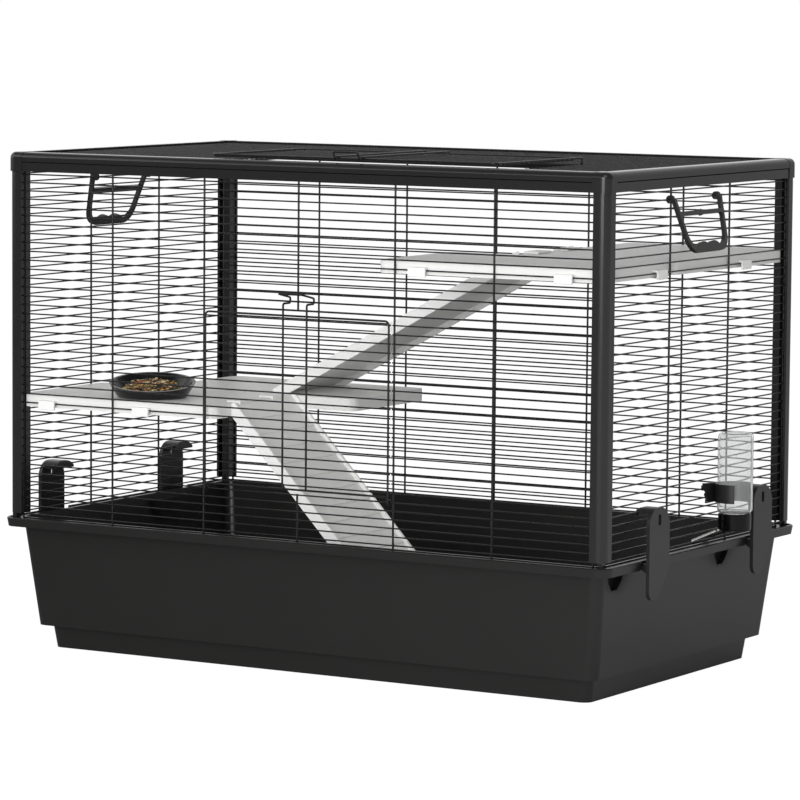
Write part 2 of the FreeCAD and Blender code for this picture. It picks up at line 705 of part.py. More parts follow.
ROOF_HINGE = Vector(0, ROOF_HINGE_ROW * ROOF_PITCH, ROOF_Z)
ROOF_DOOR_Z = ROOF_Z + ROOF_DOOR_LIFT
ROOF_DOOR_LEFT = ROOF_DOOR_LEFT_BAY * FRONT_UPRIGHT_PITCH + ROOF_DOOR_GAP
ROOF_DOOR_RIGHT = ROOF_DOOR_RIGHT_BAY * FRONT_UPRIGHT_PITCH - ROOF_DOOR_GAP
ROOF_DOOR_FRONT = -(RAIL_Y - RAIL_WIDTH) - ROOF_DOOR_FRONT_LAP
ROOF_DOOR_BACK = ROOF_HINGE.y - ROOF_DOOR_SILL
ROOF_LATCH_Z = ROOF_DOOR_Z + 2 * UPRIGHT_RADIUS


def make_roof_door_frame():
    """Bent frame wire of the roof door: its ends drop behind the hinge bar and curl round it.

    It is drawn about the hinge bar's axis and then moved to its place on the roof.
    """
    behind = EYE_RADIUS
    front = ROOF_DOOR_FRONT - ROOF_HINGE.y
    top = ROOF_DOOR_LIFT
    down = Vector(0, 0, -1)
    left = Vector(ROOF_DOOR_LEFT, behind, 0)
    right = Vector(ROOF_DOOR_RIGHT, behind, 0)
    left_eye, left_end = eye_arcs(Vector(left.x, 0, 0), left, down, EYE_TURN)
    right_eye = eye_arcs(Vector(right.x, 0, 0), right, down, EYE_TURN)[0]
    stops = [
        left, Vector(left.x, behind, top), Vector(left.x, front, top),
        Vector(right.x, front, top), Vector(right.x, behind, top), right,
    ]
    bends = [LATCH_BEND, WIRE_BEND, WIRE_BEND, LATCH_BEND]
    edges = list(reversed(left_eye))
    place = left
    for index, bend in enumerate(bends):
        start, middle, end = corner_arc(stops[index], stops[index + 1], stops[index + 2], bend)
        edges.append(Part.LineSegment(place, start).toShape())
        edges.append(Part.Arc(start, middle, end).toShape())
        place = end
    edges.append(Part.LineSegment(place, right).toShape())
    edges += right_eye
    heading = left_eye[1].tangentAt(left_eye[1].LastParameter)
    hoop = sweep(edges, left_end, heading, UPRIGHT_RADIUS)
    back_left = Vector(left.x, -ROOF_DOOR_SILL, top)
    back_right = Vector(right.x, -ROOF_DOOR_SILL, top)
    frame = hoop.fuse(rod(back_left, back_right, BAR_RADIUS))
    frame.translate(ROOF_HINGE)
    return frame


def make_roof_door_bars():
    """Bars of the roof door, under its frame, on the roof's own pitch."""
    z = ROOF_DOOR_Z - UPRIGHT_STEP
    bars = []
    for row in range(-ROOF_ROWS, ROOF_HINGE_ROW - 1):
        y = row * ROOF_PITCH
        start = Vector(ROOF_DOOR_LEFT - DOOR_BAR_OVERHANG, y, z)
        end = Vector(ROOF_DOOR_RIGHT + DOOR_BAR_OVERHANG, y, z)
        bars.append(rod(start, end, BAR_RADIUS))
    return Part.makeCompound(bars)


def make_roof_door_latch():
    """Latch wire of the roof door: two legs that dip onto the front rail and join in a finger loop."""
    middle = (ROOF_DOOR_LEFT + ROOF_DOOR_RIGHT) / 2
    dip = HEIGHT + UPRIGHT_RADIUS + SEAT_GAP
    turn_y = ROOF_DOOR_FRONT - 2 * UPRIGHT_RADIUS - LATCH_BEND
    finger_y = ROOF_DOOR_FRONT - ROOF_LATCH_REACH
    leg = [
        (ROOF_DOOR_BACK + UPRIGHT_RADIUS, ROOF_LATCH_Z), (turn_y, ROOF_LATCH_Z),
        (turn_y - UPRIGHT_RADIUS, dip), (finger_y, ROOF_LATCH_Z + ROOF_LATCH_RISE),
    ]
    points = [Vector(middle - LATCH_HALF_WIDTH, y, z) for y, z in leg]
    points += [Vector(middle + LATCH_HALF_WIDTH, y, z) for y, z in reversed(leg)]
    return bent_rod(points, UPRIGHT_RADIUS, [ROOF_LATCH_BEND] * (len(points) - 2))


def make_clip():
    """Side clip at +X, Y = 0: a tapered plate that hangs on the base bar by a crooked hook."""
    pivot = Vector(WIRE_X, 0, bar_height(0))
    outer = HALF_X + CLIP_STANDOFF + CLIP_SKIN
    inner = HALF_X + CLIP_STANDOFF
    crown = pivot.z + CLIP_CROWN
    half = CLIP_WIDTH / 2
    rounds = [half * share for share in CLIP_PLATE_ROUND_SHARES]
    corners = [
        (-half, crown, rounds[0]), (half, crown, rounds[1]), (half, RIM_TOP - RIM_HEIGHT, rounds[2]),
        (-half * CLIP_TIP_SHARE, CLIP_TIP, rounds[3]), (-half, CLIP_TIP, rounds[4]),
    ]
    plate = prism(corners, lambda a, b: Vector(inner, a, b), Vector(CLIP_SKIN, 0, 0))
    hook_half = CLIP_HOOK_WIDTH / 2
    hook_low = pivot.z - CLIP_HOOK_DROP
    lip = pivot.x - CLIP_HOOK_LIP
    under = pivot.z - CLIP_CROWN
    bends = [CLIP_CROWN * share for share in CLIP_HOOK_ROUND_SHARES]
    hook_corners = [
        (lip, under, CLIP_HOOK_TIP_ROUND), (lip, crown, bends[0]), (outer, crown, bends[1]),
        (outer, hook_low, 0), (inner, hook_low, 0), (inner, under, bends[2]),
    ]
    hook = prism(hook_corners, lambda a, b: Vector(a, -hook_half, b), Vector(0, CLIP_HOOK_WIDTH, 0))
    shoulder = prism(corners, lambda a, b: Vector(lip, a, b), Vector(outer - lip, 0, 0))
    hook = hook.common(shoulder)
    bore_radius = BAR_RADIUS + CLIP_BORE_CLEARANCE
    along = Vector(0, CLIP_WIDTH, 0)
    bore = rod(pivot - along, pivot + along, bore_radius)
    mouth = box(
        pivot.x - bore_radius, pivot.x + bore_radius, -CLIP_WIDTH, CLIP_WIDTH,
        pivot.z - 2 * CLIP_CROWN, pivot.z,
    )
    slot_top = crown - CLIP_SLOT_DROP
    slot_low = slot_top - CLIP_SLOT_HEIGHT
    slot_half = CLIP_SLOT_WIDTH / 2
    slot_corners = [
        (-slot_half, slot_low, CLIP_SLOT_ROUND), (slot_half, slot_low, CLIP_SLOT_ROUND),
        (slot_half, slot_top, CLIP_SLOT_ROUND), (-slot_half, slot_top, CLIP_SLOT_ROUND),
    ]
    slot = prism(slot_corners, lambda a, b: Vector(inner - WALL, a, b), Vector(CLIP_SKIN + 2 * WALL, 0, 0))
    catch_half = CLIP_CATCH_WIDTH / 2
    catch_top = RIM_TOP - CHANNEL_DEPTH - RIM_SKIN - SEAT_GAP
    catch_tip = HALF_X - CLIP_NOTCH_DEPTH - CLIP_CATCH_DEPTH
    catch_root = inner + SEAT_GAP
    catch_corners = [
        (catch_tip, catch_top, 0), (catch_root, catch_top, 0),
        (catch_root, catch_top - 2 * CLIP_CATCH_HEIGHT, 0), (catch_tip, catch_top - CLIP_CATCH_HEIGHT / 2, 0),
    ]
    catch = prism(catch_corners, lambda a, b: Vector(a, -catch_half, b), Vector(0, CLIP_CATCH_WIDTH, 0))
    return plate.fuse([hook, catch]).cut([bore, mouth, slot]).removeSplitter()


def make_handle(middle_y):
    """Carrying handle at +X: two closing arms that bend into a grip, a cross bar and two crooks on a bar."""
    pivot = Vector(WIRE_X, middle_y, bar_height(HANDLE_ROW))
    slope = math.radians(HANDLE_SLOPE)
    down = Vector(math.sin(slope), 0, -math.cos(slope))
    out = Vector(math.cos(slope), 0, math.sin(slope))
    thick = out * HANDLE_THICKNESS
    long = HANDLE_DROP / math.cos(slope)
    grip_top = long - HANDLE_GRIP
    bar_low = HANDLE_BAR_DROP + HANDLE_BAR
    eye_half = HANDLE_EYE_SPACING / 2
    wide = eye_half + HANDLE_ARM / 2
    closing = (wide - HANDLE_FOOT_WIDTH / 2) / long

    def place(a, b):
        return pivot + Vector(0, a, 0) + down * b + out * (BAR_RADIUS + HANDLE_STANDOFF)

    def panel(inset, top, bottom, top_round, bottom_round):
        high = wide - closing * top - inset
        low = wide - closing * bottom - inset
        corners = [
            (-high, top, top_round), (high, top, top_round),
            (low, bottom, bottom_round), (-low, bottom, bottom_round),
        ]
        return prism(corners, place, thick)

    frame = panel(0, 0, long, 0, HANDLE_CORNER)
    window = panel(HANDLE_ARM, bar_low, grip_top, HANDLE_EASE, HANDLE_CORNER - HANDLE_ARM)
    head_gap = panel(HANDLE_ARM, -HANDLE_ARM, HANDLE_BAR_DROP, 0, HANDLE_EASE)
    lobe_half = HANDLE_LOBE_PITCH / 2
    lobe_radius = (lobe_half ** 2 + HANDLE_LOBE_RISE ** 2) / (2 * HANDLE_LOBE_RISE)
    grip = panel(HANDLE_CORNER, grip_top - HANDLE_LOBE_RISE, long - HANDLE_EASE, 0, 0)
    extras = []
    for offset in (-lobe_half, lobe_half):
        centre = place(offset, grip_top - HANDLE_LOBE_RISE + lobe_radius)
        extras.append(Part.makeCylinder(lobe_radius, HANDLE_THICKNESS, centre, out).common(grip))
    middle = HANDLE_BAR_DROP + HANDLE_BAR / 2
    bump = [
        (-HANDLE_BUMP, middle, 0), (0, middle - HANDLE_BUMP, 0),
        (HANDLE_BUMP, middle, 0), (0, middle + HANDLE_BUMP, 0),
    ]
    extras.append(prism(bump, place, thick))
    for y in (-eye_half, eye_half):
        start = pivot + Vector(0, y - HANDLE_ARM / 2, 0)
        extras.append(Part.makeCylinder(HANDLE_EYE_RADIUS, HANDLE_ARM, start, Vector(0, 1, 0)))
    span = Vector(0, HANDLE_EYE_SPACING, 0)
    bore_radius = BAR_RADIUS + CLIP_BORE_CLEARANCE
    bore = rod(pivot - span, pivot + span, bore_radius)
    throat = box(
        pivot.x - bore_radius, pivot.x + bore_radius, pivot.y - span.y, pivot.y + span.y,
        pivot.z - 2 * HANDLE_EYE_RADIUS, pivot.z,
    )
    return frame.cut([window, head_gap]).fuse(extras).cut([bore, throat]).removeSplitter()


LOWER_TOP = bar_height(LOWER_SHELF_ROW) + SHELF_ABOVE_WIRE
UPPER_TOP = bar_height(UPPER_SHELF_ROW) + SHELF_ABOVE_WIRE
SHELF_FRONT = -CLEAR_Y
LOWER_LEFT = -HALF_X + LOWER_SHELF_LEFT_GAP
LOWER_RIGHT = LOWER_LEFT + LOWER_SHELF_LENGTH
UPPER_RIGHT = HALF_X - UPPER_SHELF_RIGHT_GAP
UPPER_LEFT = UPPER_RIGHT - UPPER_SHELF_LENGTH
SHELF_SEAM = SHELF_FRONT + SHELF_WIDTH
SIDE_SHELF_LEFT = UPPER_RIGHT - SIDE_SHELF_WIDTH


def post_notch(side_x, side_y, top, margin):
    """Block round the corner post at one corner, grown by margin, as high as a shelf."""
    reach = POST_LEG + SHELF_NOTCH_GAP + margin
    return box(
        side_x * (POST_X - reach), side_x * HALF_X, side_y * (POST_Y - reach), side_y * HALF_Y,
        top - SHELF_THICKNESS, top,
    )


def shelf_tray(x0, x1, y0, y1, top, post=None):
    """Shelf moulding: rounded top with a skirt all round, ribs underneath and a notch for a post."""
    middle = Vector((x0 + x1) / 2, (y0 + y1) / 2, top - SHELF_THICKNESS)
    half_x = (x1 - x0) / 2
    half_y = (y1 - y0) / 2

    def block(inset, height):
        wire = plan(half_x - inset, half_y - inset, SHELF_CORNER - inset, 0)
        wire.translate(middle)
        return Part.Face(wire).extrude(Vector(0, 0, height))

    outside = block(0, SHELF_THICKNESS)
    inside = block(SHELF_SKIRT, SHELF_THICKNESS - SHELF_TOP_SKIN)
    if post:
        outside = outside.cut(post_notch(post[0], post[1], top, 0))
        inside = inside.cut(post_notch(post[0], post[1], top, SHELF_SKIRT))
    shell = outside.cut(inside)
    rib_top = top - SHELF_TOP_SKIN
    rib_low = rib_top - SHELF_RIB_DEPTH
    ribs = []
    for share in SHELF_RIB_SHARES:
        x = x0 + (x1 - x0) * share
        y = y0 + (y1 - y0) * share
        half = SHELF_RIB / 2
        ribs.append(box(x - half, x + half, y0 + SHELF_SKIRT, y1 - SHELF_SKIRT, rib_low, rib_top))
        ribs.append(box(x0 + SHELF_SKIRT, x1 - SHELF_SKIRT, y - half, y + half, rib_low, rib_top))
    return shell.fuse(ribs)


def wire_tab(row, place, run):
    """Hook tab over a panel bar: place turns (outward from the bar, height) into a point."""
    bar = bar_height(row)
    low = bar - SHELF_TAB_DROP
    inside = -(BAR_RADIUS + 2 * UPRIGHT_RADIUS + SEAT_GAP + SHELF_SKIRT / 2)
    lip = BAR_RADIUS + SEAT_GAP
    outer = lip + SHELF_TAB_SKIN
    over = bar + BAR_RADIUS + SEAT_GAP
    crown = over + SHELF_TAB_SKIN
    corners = [
        (inside, over, 0), (lip, over, 0), (lip, low, 0), (outer, low, SHELF_TAB_TIP_ROUND),
        (outer, crown, SHELF_TAB_TOP_ROUND), (inside, crown, 0),
    ]
    return prism(corners, place, run)


def front_tab(row, x):
    """Tab over a front bar, centred on x."""
    return wire_tab(row, lambda a, b: Vector(x - SHELF_TAB / 2, -WIRE_Y - a, b), Vector(SHELF_TAB, 0, 0))


def right_tab(row, y):
    """Tab over a bar of the right panel, centred on y, reaching back to the shelf's edge."""
    tab = wire_tab(row, lambda a, b: Vector(WIRE_X + a, y - SHELF_TAB / 2, b), Vector(0, SHELF_TAB, 0))
    over = bar_height(row) + BAR_RADIUS + SEAT_GAP
    root = UPPER_RIGHT - SHELF_SKIRT / 2
    neck = box(root, WIRE_X, y - SHELF_TAB / 2, y + SHELF_TAB / 2, over, over + SHELF_TAB_SKIN)
    return tab.fuse(neck)


def seam_tongue(x, top, margin):
    """Tongue across the seam between two shelf halves, grown by margin to make its slot."""
    half = SHELF_TONGUE / 2 + margin
    high = top - SHELF_TOP_SKIN - SHELF_RIB + margin
    low = high - SHELF_TONGUE_SKIN - 2 * margin
    tip = SHELF_SEAM - SHELF_TONGUE_LENGTH
    return box(x - half, x + half, tip, SHELF_SEAM + SHELF_SKIRT / 2, low, high)


LOWER_TONGUES = [LOWER_RIGHT - share * LOWER_SHELF_LENGTH for share in LOWER_TONGUE_SHARES]
UPPER_TONGUES = [UPPER_RIGHT - share * SHELF_WIDTH for share in UPPER_TONGUE_SHARES]
LOWER_TABS = [LOWER_LEFT + spot for spot in LOWER_TAB_SPOTS]
UPPER_TABS = [UPPER_LEFT + spot for spot in UPPER_TAB_SPOTS]
FRONT_HALF_RIGHT_TAB = SHELF_SEAM - FRONT_HALF_TAB_SHARE * SHELF_WIDTH
SIDE_HALF_RIGHT_TAB = SHELF_SEAM + SIDE_HALF_TAB_SHARE * SIDE_SHELF_LENGTH


def make_lower_shelf_front():
    """Lower shelf along the front panel, with two tabs over a bar and slots for the back half."""
    shelf = shelf_tray(LOWER_LEFT, LOWER_RIGHT, SHELF_FRONT, SHELF_SEAM, LOWER_TOP, (-1, -1))
    shelf = shelf.fuse([front_tab(LOWER_SHELF_ROW, x) for x in LOWER_TABS])
    slots = [seam_tongue(x, LOWER_TOP, TONGUE_CLEARANCE) for x in LOWER_TONGUES]
    return shelf.cut(slots).removeSplitter()


def make_lower_shelf_back():
    """Back half of the lower shelf, shifted to the right and hung on the front half by two tongues."""
    left = LOWER_LEFT + LOWER_SHELF_SHIFT
    shelf = shelf_tray(left, left + LOWER_SHELF_LENGTH, SHELF_SEAM, SHELF_SEAM + SHELF_WIDTH, LOWER_TOP)
    return shelf.fuse([seam_tongue(x, LOWER_TOP, 0) for x in LOWER_TONGUES]).removeSplitter()


def make_upper_shelf_front():
    """Upper shelf along the front panel, with tabs on the front and right panels."""
    shelf = shelf_tray(UPPER_LEFT, UPPER_RIGHT, SHELF_FRONT, SHELF_SEAM, UPPER_TOP, (1, -1))
    tabs = [front_tab(UPPER_SHELF_ROW, x) for x in UPPER_TABS]
    tabs.append(right_tab(UPPER_SHELF_ROW, FRONT_HALF_RIGHT_TAB))
    slots = [seam_tongue(x, UPPER_TOP, TONGUE_CLEARANCE) for x in UPPER_TONGUES]
    return shelf.fuse(tabs).cut(slots).removeSplitter()


def make_upper_shelf_side():
    """Upper shelf along the right panel, behind the front one, with a tab and two tongues."""
    back = SHELF_SEAM + SIDE_SHELF_LENGTH
    shelf = shelf_tray(SIDE_SHELF_LEFT, UPPER_RIGHT, SHELF_SEAM, back, UPPER_TOP, (1, 1))
    extras = [seam_tongue(x, UPPER_TOP, 0) for x in UPPER_TONGUES]
    extras.append(right_tab(UPPER_SHELF_ROW, SIDE_HALF_RIGHT_TAB))
    return shelf.fuse(extras).removeSplitter()


def make_ramp(edge_x, edge_z, foot_z, heading, slope, y):
    """Ramp that hooks over a shelf edge at edge_x and runs down to foot_z towards heading (+1 or -1).

    The tread starts level with the shelf's top just outside its edge. Two hook fingers lie on the shelf,
    and their rounded tails are what the ramp turns on when it is lifted off.
    """
    angle = math.radians(slope)
    down = Vector(heading * math.cos(angle), 0, -math.sin(angle))
    up = Vector(heading * math.sin(angle), 0, math.cos(angle))
    start = Vector(edge_x + heading * RAMP_EDGE_GAP, y - RAMP_WIDTH / 2, edge_z)
    long = (edge_z - foot_z) / math.sin(angle)

    def place(a, b):
        return start + down * a + up * b

    def slab(shift, width, top, top_round, bottom):
        """Sloping slab between two depths, square to the shelf's end above and flat on the floor below."""
        corners = [
            (0, 0, 0), (bottom * math.tan(angle), -bottom, 0),
            (long - bottom / math.tan(angle), -bottom, 0), (long, 0, 0),
        ]
        if top > 0:
            corners += [(long, top, top_round), (0, top, top_round)]
        return prism(corners, lambda a, b: place(a, b) + Vector(0, shift, 0), Vector(0, width, 0))

    tread = slab(0, RAMP_WIDTH, 0, 0, RAMP_SKIN)
    parts = []
    for shift in (0, RAMP_WIDTH - RAMP_RAIL):
        parts.append(slab(shift, RAMP_RAIL, RAMP_RAIL_RISE, RAMP_RAIL_ROUND, RAMP_RAIL_DROP))
    inside = Vector(0, RAMP_RAIL / 2, 0)
    rib_run = Vector(0, RAMP_WIDTH - RAMP_RAIL, 0)
    rib_low = -RAMP_SKIN / 2
    for index in range(1, int(long / RAMP_RIB_PITCH)):
        near = index * RAMP_RIB_PITCH
        far = near + RAMP_RIB
        rib = [(near, rib_low, 0), (far, rib_low, 0), (far, RAMP_RIB_HEIGHT, 0), (near, RAMP_RIB_HEIGHT, 0)]
        parts.append(prism(rib, lambda a, b: place(a, b) + inside, rib_run))
    hook_low = edge_z + SEAT_GAP
    hook_high = hook_low + RAMP_HOOK_SKIN
    tail = edge_x - heading * RAMP_HOOK_LENGTH
    tail_round = RAMP_HOOK_SKIN / 2
    nose = start.x + heading * RAMP_HOOK_SKIN
    hook = [
        (tail, hook_low, tail_round), (start.x, hook_low, 0), (start.x, edge_z - RAMP_SKIN, 0),
        (nose, edge_z - RAMP_SKIN, 0), (nose, hook_high, tail_round), (tail, hook_high, tail_round),
    ]
    for shift in (RAMP_HOOK_INSET, RAMP_WIDTH - RAMP_HOOK_INSET - RAMP_HOOK_WIDTH):
        finger_y = start.y + shift
        parts.append(prism(hook, lambda a, b: Vector(a, finger_y, b), Vector(0, RAMP_HOOK_WIDTH, 0)))
    return tread.fuse(parts).removeSplitter()


def make_lower_ramp():
    """Ramp from the lower front shelf's right end down to the tray floor, in front of the back shelf."""
    y = SHELF_SEAM - LOWER_RAMP_SIDE_GAP - RAMP_WIDTH / 2
    return make_ramp(LOWER_RIGHT, LOWER_TOP, FLOOR_TOP + SEAT_GAP, 1, LOWER_RAMP_SLOPE, y)


def make_upper_ramp():
    """Ramp from the upper side shelf down to the lower back shelf, behind the upper front shelf."""
    y = SHELF_SEAM + UPPER_RAMP_SIDE_GAP + RAMP_WIDTH / 2
    return make_ramp(SIDE_SHELF_LEFT, UPPER_TOP, LOWER_TOP + SEAT_GAP, -1, UPPER_RAMP_SLOPE, y)


def revolve(corners, centre):
    """Solid turned about a vertical axis through centre from a profile (radius, height, round)."""
    face = Part.Face(outline(corners, lambda a, b: Vector(centre.x + a, centre.y, centre.z + b)))
    return face.revolve(centre, Vector(0, 0, 1), 360)


def make_bowl():
    """Flared food bowl on a recessed foot, with a rim that slopes down to one side."""
    base = Vector(LOWER_LEFT + BOWL_FROM_LEFT, SHELF_FRONT + BOWL_FROM_FRONT, LOWER_TOP + SEAT_GAP)
    foot_hollow = BOWL_FOOT_RADIUS - BOWL_FOOT_RING
    outside = revolve([
        (0, BOWL_WALL / 2, 0), (foot_hollow, BOWL_WALL / 2, 0), (foot_hollow, 0, 0),
        (BOWL_FOOT_RADIUS, 0, BOWL_FOOT_ROUND), (BOWL_RADIUS, BOWL_HEIGHT, 0), (0, BOWL_HEIGHT, 0),
    ], base)
    inside = revolve([
        (0, BOWL_FLOOR, 0), (BOWL_FOOT_RADIUS - BOWL_WALL / 2, BOWL_FLOOR, BOWL_FOOT_ROUND),
        (BOWL_RADIUS - BOWL_WALL, BOWL_HEIGHT, 0), (0, BOWL_HEIGHT, 0),
    ], base)
    reach = 2 * BOWL_RADIUS
    above = box(-reach, reach, -reach, reach, 0, reach)
    above.rotate(Vector(0, 0, 0), Vector(0, 1, 0), BOWL_TILT)
    above.rotate(Vector(0, 0, 0), Vector(0, 0, 1), BOWL_TILT_HEADING)
    middle = BOWL_HEIGHT - BOWL_RADIUS * math.tan(math.radians(BOWL_TILT))
    above.translate(base + Vector(0, 0, middle))
    return outside.cut([inside, above])


HOLDER_OUTER = BOTTLE_RADIUS + HOLDER_CLEARANCE + HOLDER_SKIN
BOTTLE_X = WIRE_X + BAR_RADIUS + 2 * SEAT_GAP + HOLDER_OUTER
CAP_BOTTOM = RIM_TOP + CAP_BOTTOM_ABOVE_RIM
CAP_TOP = CAP_BOTTOM + CAP_HEIGHT
NECK_END = CAP_TOP - NECK_LENGTH
BOTTLE_FOOT = Vector(BOTTLE_X, BOTTLE_Y, CAP_TOP)


def make_bottle():
    """Clear bottle, upside down: straight wall, rounded end and an open neck that goes into the cap."""
    inner = BOTTLE_RADIUS - BOTTLE_WALL
    bore = NECK_RADIUS - BOTTLE_WALL
    inner_round = BOTTLE_SHOULDER - BOTTLE_WALL
    foot = SEAT_GAP
    floor = foot + BOTTLE_WALL
    top = BOTTLE_LENGTH
    ceiling = top - BOTTLE_WALL
    corners = [
        (bore, -NECK_LENGTH, 0), (NECK_RADIUS, -NECK_LENGTH, 0), (NECK_RADIUS, foot, NECK_ROUND),
        (BOTTLE_RADIUS, foot, BOTTLE_SHOULDER), (BOTTLE_RADIUS, top, BOTTLE_SHOULDER), (0, top, 0),
        (0, ceiling, 0), (inner, ceiling, inner_round), (inner, floor, inner_round),
        (bore, floor, NECK_ROUND),
    ]
    return revolve(corners, BOTTLE_FOOT)


def spout_axis(along):
    """Point on the spout's axis: along is measured outwards from the wire plane, up the slope."""
    middle = (bar_height(-EDGE_ROWS) + bar_height(1 - EDGE_ROWS)) / 2
    slope = math.radians(SPOUT_SLOPE)
    return Vector(WIRE_X + along * math.cos(slope), BOTTLE_Y, middle + along * math.sin(slope))


SPOUT_TIP = -SPOUT_REACH / math.cos(math.radians(SPOUT_SLOPE))
SPOUT_ROOT = (BOTTLE_X - WIRE_X) / math.cos(math.radians(SPOUT_SLOPE))


def make_cap():
    """Black screw cap with a slanted boss and a bore for the spout."""
    floor = CAP_HEIGHT - NECK_LENGTH - SEAL_THICKNESS - SEAT_GAP
    inner = NECK_RADIUS + SEAT_GAP
    corners = [
        (0, 0, 0), (CAP_RADIUS, 0, CAP_ROUND), (CAP_RADIUS, CAP_HEIGHT, CAP_LIP_ROUND),
        (inner, CAP_HEIGHT, 0), (inner, floor, 0), (0, floor, 0),
    ]
    cap = revolve(corners, Vector(BOTTLE_X, BOTTLE_Y, CAP_BOTTOM))
    boss = rod(spout_axis(SPOUT_ROOT - SPOUT_BOSS_LENGTH), spout_axis(SPOUT_ROOT), SPOUT_BOSS_RADIUS)
    lid = box(
        BOTTLE_X - CAP_RADIUS, BOTTLE_X + CAP_RADIUS, BOTTLE_Y - CAP_RADIUS, BOTTLE_Y + CAP_RADIUS,
        CAP_BOTTOM - CAP_HEIGHT, CAP_BOTTOM + CAP_SKIN,
    )
    bore_radius = SPOUT_RADIUS + SPOUT_FIT
    rise = CAP_BOTTOM + floor + bore_radius - spout_axis(0).z
    bore = rod(spout_axis(0), spout_axis(rise / math.sin(math.radians(SPOUT_SLOPE))), bore_radius)
    return cap.fuse(boss.common(lid)).cut(bore).removeSplitter()


def make_seal():
    """Flat sealing ring between the bottle's neck and the cap."""
    corners = [
        (NECK_RADIUS - 2 * BOTTLE_WALL, 0, 0), (NECK_RADIUS, 0, 0),
        (NECK_RADIUS, SEAL_THICKNESS, 0), (NECK_RADIUS - 2 * BOTTLE_WALL, SEAL_THICKNESS, 0),
    ]
    return revolve(corners, Vector(BOTTLE_X, BOTTLE_Y, NECK_END - SEAL_THICKNESS - SEAT_GAP / 2))


def make_spout_tube():
    """Steel drinking tube with a rolled-in end that keeps the ball."""
    floor = CAP_BOTTOM + CAP_SKIN
    root = (floor - spout_axis(0).z) / math.sin(math.radians(SPOUT_SLOPE))
    tube = rod(spout_axis(SPOUT_TIP), spout_axis(root), SPOUT_RADIUS)
    bore = rod(spout_axis(SPOUT_TIP + SPOUT_LIP), spout_axis(root + CAP_SKIN), SPOUT_BORE)
    mouth = rod(spout_axis(SPOUT_TIP - SPOUT_LIP), spout_axis(SPOUT_TIP + 2 * SPOUT_LIP), SPOUT_LIP_RADIUS)
    return tube.cut([bore, mouth])


def make_spout_ball():
    """Ball that rests on the tube's rolled end and is pushed up to drink."""
    seat = math.sqrt(BALL_RADIUS ** 2 - SPOUT_LIP_RADIUS ** 2)
    centre = spout_axis(SPOUT_TIP + SPOUT_LIP + seat + SEAT_GAP / 2)
    return Part.makeSphere(BALL_RADIUS, centre)


def make_bottle_holder():
    """Black saddle that grips the bottle and hooks over a panel bar, with a ratchet-edged arm."""
    bar = bar_height(1)
    low = bar_height(0) - BAR_RADIUS - HOLDER_HEIGHT / 4
    axis = Vector(BOTTLE_X, BOTTLE_Y, low)
    tall = HOLDER_HEIGHT
    ring = Part.makeCylinder(HOLDER_OUTER, tall, axis).cut(
        Part.makeCylinder(BOTTLE_RADIUS + HOLDER_CLEARANCE, tall, axis)
    )
    reach = 2 * HOLDER_OUTER
    open_angle = math.radians(HOLDER_WRAP)
    open_x = -math.cos(open_angle) * reach
    open_y = math.sin(open_angle) * reach
    gap = [(0, 0, 0), (open_x, open_y, 0), (reach, 0, 0), (open_x, -open_y, 0)]
    ring = ring.cut(prism(gap, lambda a, b: Vector(BOTTLE_X + a, BOTTLE_Y + b, low), Vector(0, 0, tall)))
    back = WIRE_X + BAR_RADIUS + 2 * SEAT_GAP
    far = BOTTLE_Y - HOLDER_OUTER - HOLDER_ARM
    teeth = [(BOTTLE_Y, low, 0), (BOTTLE_Y, low + tall, 0)]
    for inset, share in HOLDER_TEETH:
        teeth.append((far + inset, low + tall * share, 0))
    arm = prism(teeth, lambda a, b: Vector(back, a, b), Vector(HOLDER_SKIN, 0, 0))
    hook_top = bar + BAR_RADIUS + SEAT_GAP
    lip = WIRE_X - BAR_RADIUS - SEAT_GAP
    front = back + HOLDER_SKIN
    waist = low + tall / 2
    crown = hook_top + HOLDER_SKIN
    tip = bar - HOLDER_HOOK_DROP
    hook_corners = [
        (front, waist, 0), (back, waist, 0), (back, hook_top, 0), (lip, hook_top, 0), (lip, tip, 0),
        (lip - HOLDER_SKIN, tip, 0), (lip - HOLDER_SKIN, crown, HOLDER_ROUND), (front, crown, HOLDER_ROUND),
    ]
    hooks = []
    for y in (BOTTLE_Y - HOLDER_OUTER - HOLDER_ARM / 2, BOTTLE_Y - HOLDER_HOOK_WIDTH / 2):
        hooks.append(prism(hook_corners, lambda a, b: Vector(a, y, b), Vector(0, HOLDER_HOOK_WIDTH, 0)))
    bottle = Part.makeCylinder(BOTTLE_RADIUS + HOLDER_CLEARANCE, 2 * tall, axis)
    return ring.fuse([arm] + hooks).cut(bottle).removeSplitter()


